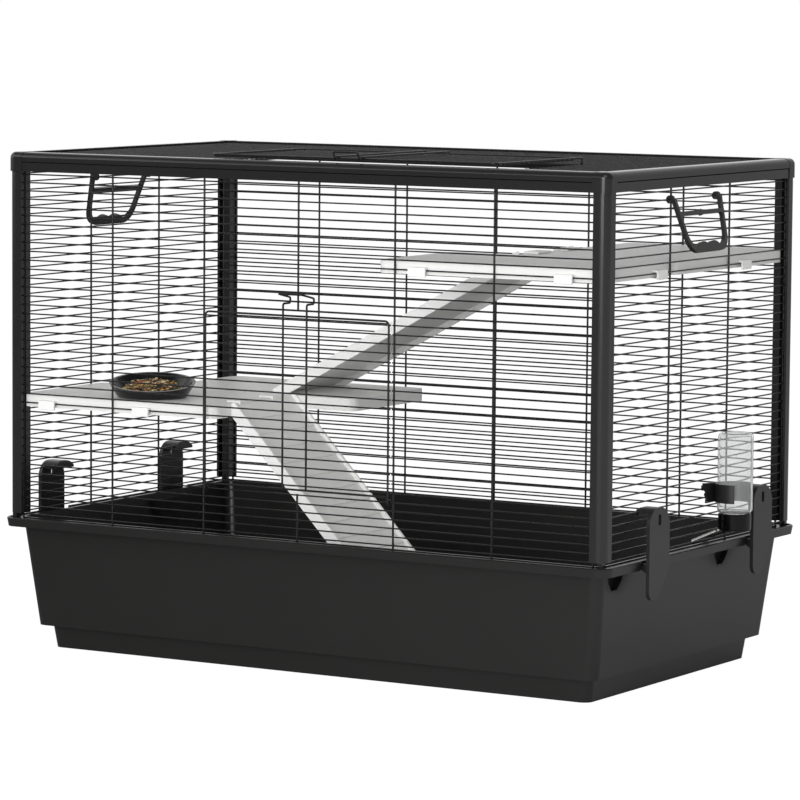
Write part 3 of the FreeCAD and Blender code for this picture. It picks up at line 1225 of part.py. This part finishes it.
def build():
    """All pieces by name, in place."""
    along_x = Vector(1, 0, 0)
    along_y = Vector(0, 1, 0)
    pieces = {"tray": make_tray()}
    post = make_post()
    corner = make_rail_corner()
    clip = make_clip()
    quarters = (
        ("front_left", True, True), ("front_right", False, True),
        ("back_left", True, False), ("back_right", False, False),
    )
    for name, flip_x, flip_y in quarters:
        for kind, shape in (("post", post), ("rail_corner", corner)):
            piece = shape
            if flip_x:
                piece = mirrored(piece, along_x)
            if flip_y:
                piece = mirrored(piece, along_y)
            pieces[kind + "_" + name] = piece
        hung = mirrored(clip, along_x) if flip_x else clip.copy()
        hung.translate(Vector(0, (-1 if flip_y else 1) * CLIP_SPACING / 2, 0))
        pieces["tray_clip_" + name] = hung
    rail_long = make_rail_long()
    rail_short = make_rail_short()
    pieces["top_rail_front"] = rail_long
    pieces["top_rail_back"] = mirrored(rail_long, along_y)
    pieces["top_rail_right"] = rail_short
    pieces["top_rail_left"] = mirrored(rail_short, along_x)
    pieces["front_panel"] = make_front_panel()
    pieces["back_panel"] = make_back_panel()
    pieces["left_panel"] = make_side_panel(-1)
    pieces["right_panel"] = make_side_panel(1)
    pieces["roof_panel"] = make_roof_panel()
    pieces["front_door_frame"] = make_front_door_frame()
    pieces["front_door_bars"] = make_front_door_bars()
    pieces["front_door_latch"] = make_front_door_latch()
    pieces["roof_door_frame"] = make_roof_door_frame()
    pieces["roof_door_bars"] = make_roof_door_bars()
    pieces["roof_door_latch"] = make_roof_door_latch()
    pieces["carry_handle_right"] = make_handle(RIGHT_HANDLE_Y)
    pieces["carry_handle_left"] = mirrored(make_handle(LEFT_HANDLE_Y), along_x)
    pieces["lower_shelf_front"] = make_lower_shelf_front()
    pieces["lower_shelf_back"] = make_lower_shelf_back()
    pieces["upper_shelf_front"] = make_upper_shelf_front()
    pieces["upper_shelf_side"] = make_upper_shelf_side()
    pieces["lower_ramp"] = make_lower_ramp()
    pieces["upper_ramp"] = make_upper_ramp()
    pieces["food_bowl"] = make_bowl()
    pieces["water_bottle"] = make_bottle()
    pieces["bottle_cap"] = make_cap()
    pieces["bottle_seal"] = make_seal()
    pieces["spout_tube"] = make_spout_tube()
    pieces["spout_ball"] = make_spout_ball()
    pieces["bottle_holder"] = make_bottle_holder()
    return pieces


os.makedirs("parts", exist_ok=True)
for name, shape in build().items():
    shape.exportStep("parts/" + name + ".step")
    print(name, len(shape.Solids), round(shape.Volume, 1), shape.isValid())
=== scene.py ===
"""Looks of the small-animal cage: finishes, food in the bowl, studio and camera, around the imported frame.

Metres. +Z is up, +X runs to the right along the length, the front door faces -Y.
"""

import math

import bpy
import numpy as np
from mathutils import Matrix, Vector


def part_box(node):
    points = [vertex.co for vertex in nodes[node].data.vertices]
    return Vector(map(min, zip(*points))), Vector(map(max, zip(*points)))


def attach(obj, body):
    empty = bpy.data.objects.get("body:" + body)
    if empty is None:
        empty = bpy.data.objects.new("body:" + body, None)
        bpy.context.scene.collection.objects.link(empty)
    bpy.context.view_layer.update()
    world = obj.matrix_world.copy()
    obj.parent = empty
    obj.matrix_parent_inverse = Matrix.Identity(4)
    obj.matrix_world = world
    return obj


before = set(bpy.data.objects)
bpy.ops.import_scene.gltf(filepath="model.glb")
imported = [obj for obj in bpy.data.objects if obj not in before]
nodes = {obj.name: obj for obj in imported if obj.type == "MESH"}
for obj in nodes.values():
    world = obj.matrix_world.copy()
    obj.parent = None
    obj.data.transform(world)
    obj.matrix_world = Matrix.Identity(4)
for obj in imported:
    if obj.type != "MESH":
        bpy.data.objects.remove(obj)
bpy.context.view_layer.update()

# Camera, as the photograph was taken: angles in degrees, lens and sensor in millimetres
CAMERA_AZIMUTH = 30.991
CAMERA_ELEVATION = 5.695
CAMERA_ROLL = 0.441
CAMERA_DISTANCE = 5.0235
CAMERA_TARGET = Vector((-0.0001, 0.0, 0.2957))
CAMERA_LENS = 194.63
CAMERA_SENSOR = 36.0
CAMERA_FAR = 100.0

# Nodes that come in sets
CORNERS = ("front_left", "front_right", "back_left", "back_right")
SIDES = ("front", "back", "left", "right")
DOORS = ("front", "roof")
DOOR_PIECES = ("frame", "bars", "latch")
SHELVES = ("lower_shelf_front", "lower_shelf_back", "upper_shelf_front", "upper_shelf_side")
RAMPS = ("lower_ramp", "upper_ramp")

# Colours of the finishes, linear
TRAY_BLACK = (0.0115, 0.0115, 0.011, 1.0)
RAIL_BLACK = (0.014, 0.014, 0.014, 1.0)
WIRE_BLACK = (0.004, 0.004, 0.004, 1.0)
FITTING_BLACK = (0.015, 0.015, 0.0145, 1.0)
SHELF_WHITE = (0.80, 0.80, 0.785, 1.0)
RAMP_RAIL_WHITE = (0.9, 0.9, 0.89, 1.0)
# Ramp tread: painted shade, a little greyer than the rails for the shade that falls on it between them
RAMP_TREAD_SHADE = (0.84, 0.84, 0.825, 1.0)
BOWL_BLACK = (0.006, 0.006, 0.006, 1.0)
STEEL = (0.55, 0.55, 0.54, 1.0)
RUBBER = (0.03, 0.03, 0.03, 1.0)
BOTTLE_TINT = (0.975, 0.98, 0.98, 1.0)
CAP_BLACK = (0.002, 0.002, 0.002, 1.0)

# Moulded grain: depth of the bump, then scale, detail and break-up of its two noises, and a noise's mean
GRAIN_DEPTH = 0.0004
GRAIN_SCALE = 900.0
GRAIN_DETAIL = 2.0
MOTTLE_SCALE = 14.0
MOTTLE_DETAIL = 4.0
MOTTLE_BREAKUP = 0.6
NOISE_MIDDLE = 0.5

# Clear bottle plastic
BOTTLE_ROUGHNESS = 0.05
BOTTLE_IOR = 1.12
BOTTLE_CLEARNESS = 0.92

# Ramps: width of the pale rail along each edge, and of its change to the tread
RAMP_RAIL = 0.003
RAMP_SOFT_EDGE = 0.0004

# A Mix node's colour sockets, by position because their names repeat
MIX_COLOUR_A = 6
MIX_COLOUR_B = 7
MIX_COLOUR_RESULT = 2

# One seed: its mesh, how far one end is drawn out and narrowed, the ranges of its length, of its width as a
# share of the length and of its thickness as a share of the width, the spread of its pitch, and its skin
SEED_ROWS = 6
SEED_TURNS = 8
SEED_TIP = 0.18
SEED_TAPER = 0.22
SEED_LENGTH = (0.005, 0.0095)
SEED_WIDTH = (0.34, 0.5)
SEED_THICKNESS = (0.45, 0.9)
SEED_PITCH = 0.28
SEED_ROUGHNESS = 0.55
SEED_TINT_LAYER = "seed_tint"
SEED_TINTS = np.array([
    [0.60, 0.40, 0.11],
    [0.70, 0.58, 0.34],
    [0.42, 0.19, 0.05],
    [0.04, 0.03, 0.02],
    [0.05, 0.035, 0.02],
    [0.22, 0.11, 0.05],
    [0.42, 0.09, 0.03],
    [0.34, 0.30, 0.10],
])
STREAK_SCALE = 420.0
STREAK_REACH = (0.3, 0.7)
STREAK_SHADE = (0.45, 1.2)

# The heap of seeds: it leans as the bowl's rim does. The lean puts the bowl's axis off the middle of its box.
SEED_COUNT = 420
SEED_DRAW = 7
BOWL_AXIS = (-0.232, -0.170)
HEAP_RADIUS = 0.036
HEAP_FLAT = 0.027
HEAP_FOOT = 0.006
HEAP_SHIFT = 0.002
HEAP_HEIGHT = 0.0125
HEAP_CROWN = 0.0035
HEAP_CROWN_SPREAD = (0.3, 1.0)
HEAP_TILT = math.radians(7.9)
HEAP_HEADING = math.radians(-59.3)
GOLDEN_ANGLE = math.pi * (3.0 - math.sqrt(5.0))

# Studio floor: what the camera sees of it, and what shows in reflections
FLOOR_HALF = 12.0
FLOOR_DROP = 0.0006
FLOOR_GLOW = 0.88
FLOOR_LEVEL = 1.1
FLOOR_PAINT = (0.8, 0.8, 0.8)
# Painted reflection: the floor's tone in reflections only, dimmer to the left, lightening the black parts'
# sides that face right
FLOOR_SHEEN_REACH = (-0.7, 0.9)
FLOOR_SHEEN = (0.25, 1.2)
# Painted highlight: a patch of floor ahead on the right glows only in reflections, for highlights on rounded
# vertical edges
FLOOR_GLINT_HEADING = (0.866, -0.5, 0.0)
FLOOR_GLINT_REACH = (0.5, 0.95)
FLOOR_GLINT_LEVEL = 0.8

# Studio world: fill from the horizon to overhead, and what gloss sees from ahead of the object to behind it
WORLD_WHITE = (1.0, 1.0, 1.0, 1.0)
FILL_REACH = (0.0, 1.0)
FILL_LEVEL = (0.78, 0.24)
SHEEN_REACH = (0.2, 1.0)
SHEEN_LEVEL = (0.12, 1.0)

# Lamps: width and height in metres, power in watts
LAMPS = {
    "key_right": {"place": (1.8, -2.4, 3.0), "aim": (0.1, 0.0, 0.25), "size": (2.2, 2.2), "power": 30.0},
    "front_fill": {"place": (0.9, -4.2, 1.2), "aim": (0.0, 0.0, 0.3), "size": (2.6, 1.8), "power": 92.0},
    "left_fill": {"place": (-3.2, -1.4, 1.8), "aim": (0.0, 0.0, 0.3), "size": (3.0, 3.0), "power": 32.0},
    "rail_strip": {"place": (-2.3, -3.4, 2.2), "aim": (0.0, 0.0, 0.5), "size": (3.0, 0.5), "power": 12.0},
}


def feed(tree, node, inputs):
    """Sets each input of a node to a value, or links it to another node's output."""
    for key, source in inputs.items():
        if isinstance(source, bpy.types.NodeSocket):
            tree.links.new(source, node.inputs[key])
        else:
            node.inputs[key].default_value = source


def add(tree, kind, inputs=None, **settings):
    """New node with its settings made and its inputs fed."""
    node = tree.nodes.new(kind)
    for name, value in settings.items():
        setattr(node, name, value)
    feed(tree, node, inputs or {})
    return node


def worked(tree, operation, *terms):
    """Result of a Math node on up to three terms."""
    return add(tree, "ShaderNodeMath", dict(enumerate(terms)), operation=operation).outputs[0]


def ranged(tree, value, reach, result):
    """Value carried from the range reach to the range result, held at both ends."""
    ends = dict(zip(("From Min", "From Max", "To Min", "To Max"), (*reach, *result)))
    return add(tree, "ShaderNodeMapRange", {"Value": value, **ends}).outputs["Result"]


def scaled(tree, vector, scale):
    """A colour or vector times a value."""
    product = add(tree, "ShaderNodeVectorMath", {0: vector, "Scale": scale}, operation="SCALE")
    return product.outputs["Vector"]


def along(tree, vector, heading):
    """How far a vector reaches along a heading."""
    product = add(tree, "ShaderNodeVectorMath", {0: vector, 1: heading}, operation="DOT_PRODUCT")
    return product.outputs["Value"]


def coordinates(tree, kind):
    """Texture coordinates as a vector, and as its three axes by name."""
    place = add(tree, "ShaderNodeTexCoord").outputs[kind]
    return place, add(tree, "ShaderNodeSeparateXYZ", {0: place}).outputs


def either(tree, switch, off, on):
    """The value off where switch is 0, and on where it is 1."""
    return add(tree, "ShaderNodeMix", {"Factor": switch, "A": off, "B": on}).outputs["Result"]


def new_material(name):
    """New material, its node tree and its shader."""
    material = bpy.data.materials.new(name)
    material.use_nodes = True
    tree = material.node_tree
    return material, tree, tree.nodes["Principled BSDF"]


def new_object(name, data):
    """New object at the origin, linked to the scene."""
    made = bpy.data.objects.new(name, data)
    bpy.context.scene.collection.objects.link(made)
    return made


def moulded_grain_group():
    """Moulded-plastic surface: fine grain as height, soft mottling of the roughness and of the tone.

    Grain is noise at Grain Scale; mottling is a larger noise that moves the roughness by Mottle
    and the colour's brightness by Tone.
    """
    tree = bpy.data.node_groups.new("moulded_grain", "ShaderNodeTree")
    sockets = {
        "INPUT": {"Vector": "Vector", "Color": "Color", "Roughness": "Float", "Grain Scale": "Float",
                  "Mottle Scale": "Float", "Mottle": "Float", "Tone": "Float"},
        "OUTPUT": {"Color": "Color", "Roughness": "Float", "Height": "Float"},
    }
    for direction, kinds in sockets.items():
        for name, kind in kinds.items():
            tree.interface.new_socket(name=name, in_out=direction, socket_type="NodeSocket" + kind)
    given = add(tree, "NodeGroupInput").outputs
    grain = add(tree, "ShaderNodeTexNoise", {
        "Vector": given["Vector"],
        "Scale": given["Grain Scale"],
        "Detail": GRAIN_DETAIL,
    })
    mottle = add(tree, "ShaderNodeTexNoise", {
        "Vector": given["Vector"],
        "Scale": given["Mottle Scale"],
        "Detail": MOTTLE_DETAIL,
        "Roughness": MOTTLE_BREAKUP,
    })
    centred = worked(tree, "SUBTRACT", mottle.outputs["Fac"], NOISE_MIDDLE)
    tone = worked(tree, "MULTIPLY_ADD", centred, given["Tone"], 1.0)
    add(tree, "NodeGroupOutput", {
        "Color": scaled(tree, given["Color"], tone),
        "Roughness": worked(tree, "MULTIPLY_ADD", centred, given["Mottle"], given["Roughness"]),
        "Height": grain.outputs["Fac"],
    })
    return tree


MOULDED_GRAIN = moulded_grain_group()


def moulded(name, color, roughness, specular, grain=0.08, grain_scale=GRAIN_SCALE, mottle=0.08, tone=0.1):
    """Plastic, paint or rubber with a moulded grain."""
    material, tree, shader = new_material(name)
    surface = add(tree, "ShaderNodeGroup", {
        "Vector": add(tree, "ShaderNodeTexCoord").outputs["Object"],
        "Color": color,
        "Roughness": roughness,
        "Grain Scale": grain_scale,
        "Mottle Scale": MOTTLE_SCALE,
        "Mottle": mottle,
        "Tone": tone,
    }, node_tree=MOULDED_GRAIN, name="surface")
    bump = add(tree, "ShaderNodeBump", {
        "Strength": grain,
        "Distance": GRAIN_DEPTH,
        "Height": surface.outputs["Height"],
    })
    feed(tree, shader, {
        "Base Color": surface.outputs["Color"],
        "Roughness": surface.outputs["Roughness"],
        "Specular IOR Level": specular,
        "Normal": bump.outputs["Normal"],
    })
    return material


def clear_plastic(name, color):
    """Clear bottle plastic: see-through, slightly hazy, with a faint tint."""
    material, tree, shader = new_material(name)
    feed(tree, shader, {
        "Base Color": color,
        "Roughness": BOTTLE_ROUGHNESS,
        "IOR": BOTTLE_IOR,
        "Transmission Weight": BOTTLE_CLEARNESS,
    })
    return material


def steel(name, color):
    """Drawn steel tube: metal with fine grain and a mottled roughness."""
    material = moulded(name, color, roughness=0.24, specular=0.5, grain=0.03, grain_scale=1500.0, mottle=0.12)
    material.node_tree.nodes["Principled BSDF"].inputs["Metallic"].default_value = 1.0
    return material


def ramp_plastic(name, node):
    """Ramp plastic: pale rails along both edges and, between them, a tread painted greyer as painted shade.

    A point is on the tread where its distance across from the ramp's middle line is under the tread's half.
    """
    low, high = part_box(node)
    half = (high.y - low.y) / 2 - RAMP_RAIL
    material = moulded(
        name, RAMP_RAIL_WHITE, roughness=0.45, specular=0.4, grain=0.3, grain_scale=500.0, tone=0.12
    )
    tree = material.node_tree
    _, axes = coordinates(tree, "Object")
    across = worked(tree, "SUBTRACT", axes["Y"], (high.y + low.y) / 2)
    away = worked(tree, "ABSOLUTE", across)
    # Painted shade: the tread between the rails takes the greyer tone
    blend = add(tree, "ShaderNodeMix", {
        "Factor": ranged(tree, away, (half - RAMP_SOFT_EDGE, half), (1.0, 0.0)),
        MIX_COLOUR_A: RAMP_RAIL_WHITE,
        MIX_COLOUR_B: RAMP_TREAD_SHADE,
    }, data_type="RGBA")
    feed(tree, tree.nodes["surface"], {"Color": blend.outputs[MIX_COLOUR_RESULT]})
    return material


def finish_nodes(material, *names):
    """Gives CAD nodes one material."""
    for name in names:
        mesh = nodes[name].data
        mesh.materials.clear()
        mesh.materials.append(material)


def cage_finishes():
    """The finish of every CAD node."""
    finish_nodes(moulded("tray_plastic", TRAY_BLACK, roughness=0.3, specular=0.4), "tray")
    finish_nodes(
        moulded("frame_plastic", RAIL_BLACK, roughness=0.17, specular=0.45, grain=0.04),
        *["post_" + corner for corner in CORNERS],
        *["rail_corner_" + corner for corner in CORNERS],
        *["top_rail_" + side for side in SIDES],
    )
    finish_nodes(
        moulded("coated_wire", WIRE_BLACK, roughness=0.28, specular=0.5, grain=0.04, mottle=0.1),
        *[side + "_panel" for side in SIDES + ("roof",)],
        *[door + "_door_" + piece for door in DOORS for piece in DOOR_PIECES],
    )
    finish_nodes(
        moulded("fitting_plastic", FITTING_BLACK, roughness=0.34, specular=0.45),
        *["tray_clip_" + corner for corner in CORNERS],
        "carry_handle_left",
        "carry_handle_right",
        "bottle_holder",
    )
    finish_nodes(moulded("cap_plastic", CAP_BLACK, roughness=0.16, specular=0.22, grain=0.02), "bottle_cap")
    finish_nodes(
        moulded("shelf_plastic", SHELF_WHITE, roughness=0.42, specular=0.4, grain=0.12, tone=0.05),
        *SHELVES,
    )
    for ramp in RAMPS:
        finish_nodes(ramp_plastic(ramp + "_plastic", ramp), ramp)
    finish_nodes(moulded("bowl_plastic", BOWL_BLACK, roughness=0.22, specular=0.5, grain=0.02), "food_bowl")
    finish_nodes(moulded("seal_rubber", RUBBER, roughness=0.6, specular=0.3), "bottle_seal")
    finish_nodes(steel("spout_steel", STEEL), "spout_tube", "spout_ball")
    finish_nodes(clear_plastic("bottle_plastic", BOTTLE_TINT), "water_bottle")


def unit_seed():
    """Pointed oval along X: rings whose radius is the sine of the row angle, and a tip at each end.

    The length and the narrowing grow towards the far end, by SEED_TIP and SEED_TAPER. Returns the points
    (rings, then the two tips), the quads between rings and the triangles round the tips.
    """
    row = np.linspace(0.0, math.pi, SEED_ROWS)
    turn = np.linspace(0.0, 2 * math.pi, SEED_TURNS, endpoint=False)
    share = (1.0 - np.cos(row)) / 2
    reach = -np.cos(row) * (1.0 + SEED_TIP * share)
    radius = (np.sin(row) * (1.0 - SEED_TAPER * share))[1:-1]
    rings = np.stack([
        np.repeat(reach[1:-1], SEED_TURNS),
        np.outer(radius, np.cos(turn)).ravel(),
        np.outer(radius, np.sin(turn)).ravel(),
    ], axis=1)
    tips = np.array([[reach[0], 0.0, 0.0], [reach[-1], 0.0, 0.0]])
    step = np.arange(SEED_TURNS)
    after = (step + 1) % SEED_TURNS
    ring = np.arange(len(radius) - 1)[:, None] * SEED_TURNS
    first, second = (ring + step).ravel(), (ring + after).ravel()
    quads = np.stack([first, second, second + SEED_TURNS, first + SEED_TURNS], axis=1)
    last = len(rings) - SEED_TURNS
    near_tip = np.stack([np.full(SEED_TURNS, len(rings)), after, step], axis=1)
    far_tip = np.stack([np.full(SEED_TURNS, len(rings) + 1), last + step, last + after], axis=1)
    return np.vstack([rings, tips]), quads, np.vstack([near_tip, far_tip])


def seed_skin():
    """Seed skin: each seed's own tint, darkened and lightened in soft streaks."""
    material, tree, shader = new_material("seed_skin")
    tint = add(tree, "ShaderNodeAttribute", attribute_name=SEED_TINT_LAYER)
    streak = add(tree, "ShaderNodeTexNoise", {
        "Vector": add(tree, "ShaderNodeTexCoord").outputs["Object"],
        "Scale": STREAK_SCALE,
    })
    shade = ranged(tree, streak.outputs["Fac"], STREAK_REACH, STREAK_SHADE)
    feed(tree, shader, {
        "Base Color": scaled(tree, tint.outputs["Color"], shade),
        "Roughness": SEED_ROUGHNESS,
    })
    return material


def bowl_food():
    """Heap of seeds on a sunflower spiral: a crowned top that leans with the bowl's rim.

    The height is the leaning plane plus a crown; past HEAP_FLAT it drops in a straight line to HEAP_FOOT at
    HEAP_RADIUS. Each seed is turned and sized by a fixed draw.
    """
    draw = np.random.default_rng(SEED_DRAW)
    bowl_low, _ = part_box("food_bowl")
    count = np.arange(SEED_COUNT)
    radius = HEAP_RADIUS * np.sqrt((count + 0.5) / SEED_COUNT)
    angle = count * GOLDEN_ANGLE
    lean = np.array([math.cos(HEAP_HEADING), math.sin(HEAP_HEADING)])
    spot = np.stack([radius * np.cos(angle), radius * np.sin(angle)], axis=1) - HEAP_SHIFT * lean
    dome = HEAP_CROWN * (1.0 - (radius / HEAP_RADIUS) ** 2)
    crown = dome * draw.uniform(*HEAP_CROWN_SPREAD, SEED_COUNT)
    top = HEAP_HEIGHT - spot @ lean * math.tan(HEAP_TILT) + crown
    drop = np.clip((HEAP_RADIUS - radius) / (HEAP_RADIUS - HEAP_FLAT), 0.0, 1.0)
    height = bowl_low.z + HEAP_FOOT + (top - HEAP_FOOT) * drop
    middle = np.column_stack([spot + np.array(BOWL_AXIS), height])
    long = draw.uniform(*SEED_LENGTH, SEED_COUNT) / 2
    wide = long * draw.uniform(*SEED_WIDTH, SEED_COUNT)
    thick = wide * draw.uniform(*SEED_THICKNESS, SEED_COUNT)
    yaw = draw.uniform(0.0, 2 * math.pi, SEED_COUNT)
    pitch = draw.normal(0.0, SEED_PITCH, SEED_COUNT)
    ahead = np.stack([np.cos(yaw) * np.cos(pitch), np.sin(yaw) * np.cos(pitch), np.sin(pitch)], axis=1)
    side = np.stack([-np.sin(yaw), np.cos(yaw), np.zeros(SEED_COUNT)], axis=1)
    up = np.cross(ahead, side)
    shape, quads, triangles = unit_seed()
    points = (
        middle[:, None, :]
        + shape[None, :, 0, None] * (long[:, None] * ahead)[:, None, :]
        + shape[None, :, 1, None] * (wide[:, None] * side)[:, None, :]
        + shape[None, :, 2, None] * (thick[:, None] * up)[:, None, :]
    ).reshape(-1, 3)
    base = (count * len(shape))[:, None, None]
    sides = (quads[None, :, :] + base).reshape(-1, 4)
    tips = (triangles[None, :, :] + base).reshape(-1, 3)
    mesh = bpy.data.meshes.new("bowl_food")
    mesh.from_pydata(points.tolist(), [], sides.tolist() + tips.tolist())
    tints = SEED_TINTS[draw.integers(0, len(SEED_TINTS), SEED_COUNT)]
    colours = np.column_stack([np.repeat(tints, len(shape), axis=0), np.ones(SEED_COUNT * len(shape))])
    layer = mesh.color_attributes.new(SEED_TINT_LAYER, "FLOAT_COLOR", "POINT")
    layer.data.foreach_set("color", colours.astype(np.float32).ravel())
    mesh.polygons.foreach_set("use_smooth", np.ones(len(mesh.polygons), bool))
    mesh.materials.append(seed_skin())
    food = new_object("bowl_food", mesh)
    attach(food, "bowl")


def seen_directly(tree, rays):
    """1 for rays from the camera and for rays through clear plastic, otherwise 0."""
    return worked(tree, "MAXIMUM", rays["Is Camera Ray"], rays["Is Transmission Ray"])


def floor_paint():
    """Floor's material: it glows white to the camera and keeps a share of paint, which takes the shadow.

    In reflections only, the floor carries painted reflection: its paint is dimmer to the left, and a patch
    ahead on the right glows there alone as a painted highlight for rounded vertical edges.
    """
    material, tree, _ = new_material("studio_floor")
    tree.nodes.clear()
    rays = add(tree, "ShaderNodeLightPath").outputs
    place, axes = coordinates(tree, "Object")
    glossy = rays["Is Glossy Ray"]
    # Painted reflection: the floor's tone as seen in gloss, dimmer to the left
    sheen = ranged(tree, axes["X"], FLOOR_SHEEN_REACH, FLOOR_SHEEN)
    tone = scaled(tree, FLOOR_PAINT, either(tree, glossy, 1.0, sheen))
    paint = add(tree, "ShaderNodeBsdfDiffuse", {"Color": tone})
    level = either(tree, glossy, FLOOR_LEVEL, FLOOR_GLINT_LEVEL)
    glow = add(tree, "ShaderNodeEmission", {"Strength": level})
    # Painted highlight: a patch seen only in gloss, glowing ahead on the right
    glint_patch = ranged(tree, along(tree, place, FLOOR_GLINT_HEADING), FLOOR_GLINT_REACH, (0.0, 1.0))
    mirrored = worked(tree, "MULTIPLY", glossy, glint_patch)
    share = worked(tree, "MULTIPLY_ADD", seen_directly(tree, rays), FLOOR_GLOW, mirrored)
    mix = add(tree, "ShaderNodeMixShader", {"Fac": share, 1: paint.outputs[0], 2: glow.outputs[0]})
    add(tree, "ShaderNodeOutputMaterial", {"Surface": mix.outputs[0]})
    return material


def studio_floor():
    """Pale square floor just under the tray."""
    mesh = bpy.data.meshes.new("studio_floor")
    corner = FLOOR_HALF * np.array([[-1, -1], [1, -1], [1, 1], [-1, 1]])
    points = np.column_stack([corner, np.full(len(corner), -FLOOR_DROP)])
    mesh.from_pydata(points.tolist(), [], [(0, 1, 2, 3)])
    mesh.materials.append(floor_paint())
    floor = new_object("studio_floor", mesh)


def studio_world():
    """White to the camera and through clear plastic.

    The fill fades from the horizon to overhead. What gloss sees is bright behind the object and dim in front.
    """
    world = bpy.data.worlds.new("studio")
    bpy.context.scene.world = world
    world.use_nodes = True
    tree = world.node_tree
    rays = add(tree, "ShaderNodeLightPath").outputs
    place, axes = coordinates(tree, "Generated")
    azimuth = math.radians(CAMERA_AZIMUTH)
    behind = (-math.sin(azimuth), math.cos(azimuth), 0.0)
    fill = ranged(tree, axes["Z"], FILL_REACH, FILL_LEVEL)
    sheen = ranged(tree, along(tree, place, behind), SHEEN_REACH, SHEEN_LEVEL)
    lit = either(tree, rays["Is Glossy Ray"], fill, sheen)
    feed(tree, tree.nodes["Background"], {
        "Color": WORLD_WHITE,
        "Strength": worked(tree, "MAXIMUM", lit, seen_directly(tree, rays)),
    })


def softbox(name, place, aim, size, power):
    """Rectangular lamp at place, facing aim."""
    lamp = bpy.data.lights.new(name, "AREA")
    lamp.shape = "RECTANGLE"
    lamp.size, lamp.size_y = size
    lamp.energy = power
    stand = new_object(name, lamp)
    stand.location = place
    stand.rotation_mode = "QUATERNION"
    stand.rotation_quaternion = (Vector(aim) - Vector(place)).to_track_quat("-Z", "Y")


def photo_camera():
    """Long-lens camera on the photograph's line of sight."""
    azimuth, elevation = math.radians(CAMERA_AZIMUTH), math.radians(CAMERA_ELEVATION)
    reach = math.cos(elevation)
    back = Vector((math.sin(azimuth) * reach, -math.cos(azimuth) * reach, math.sin(elevation)))
    data = bpy.data.cameras.new("photo_camera")
    data.sensor_width = CAMERA_SENSOR
    data.lens = CAMERA_LENS
    data.clip_end = CAMERA_FAR
    camera = new_object("photo_camera", data)
    level = (-back).to_track_quat("-Z", "Y").to_matrix().to_4x4()
    roll = Matrix.Rotation(math.radians(CAMERA_ROLL), 4, "Z")
    camera.matrix_world = Matrix.Translation(CAMERA_TARGET + back * CAMERA_DISTANCE) @ level @ roll
    bpy.context.scene.camera = camera


cage_finishes()
bowl_food()
studio_floor()
studio_world()
for name, lamp in LAMPS.items():
    softbox(name, **lamp)
photo_camera()

view = bpy.context.scene.view_settings
view.view_transform = "Standard"
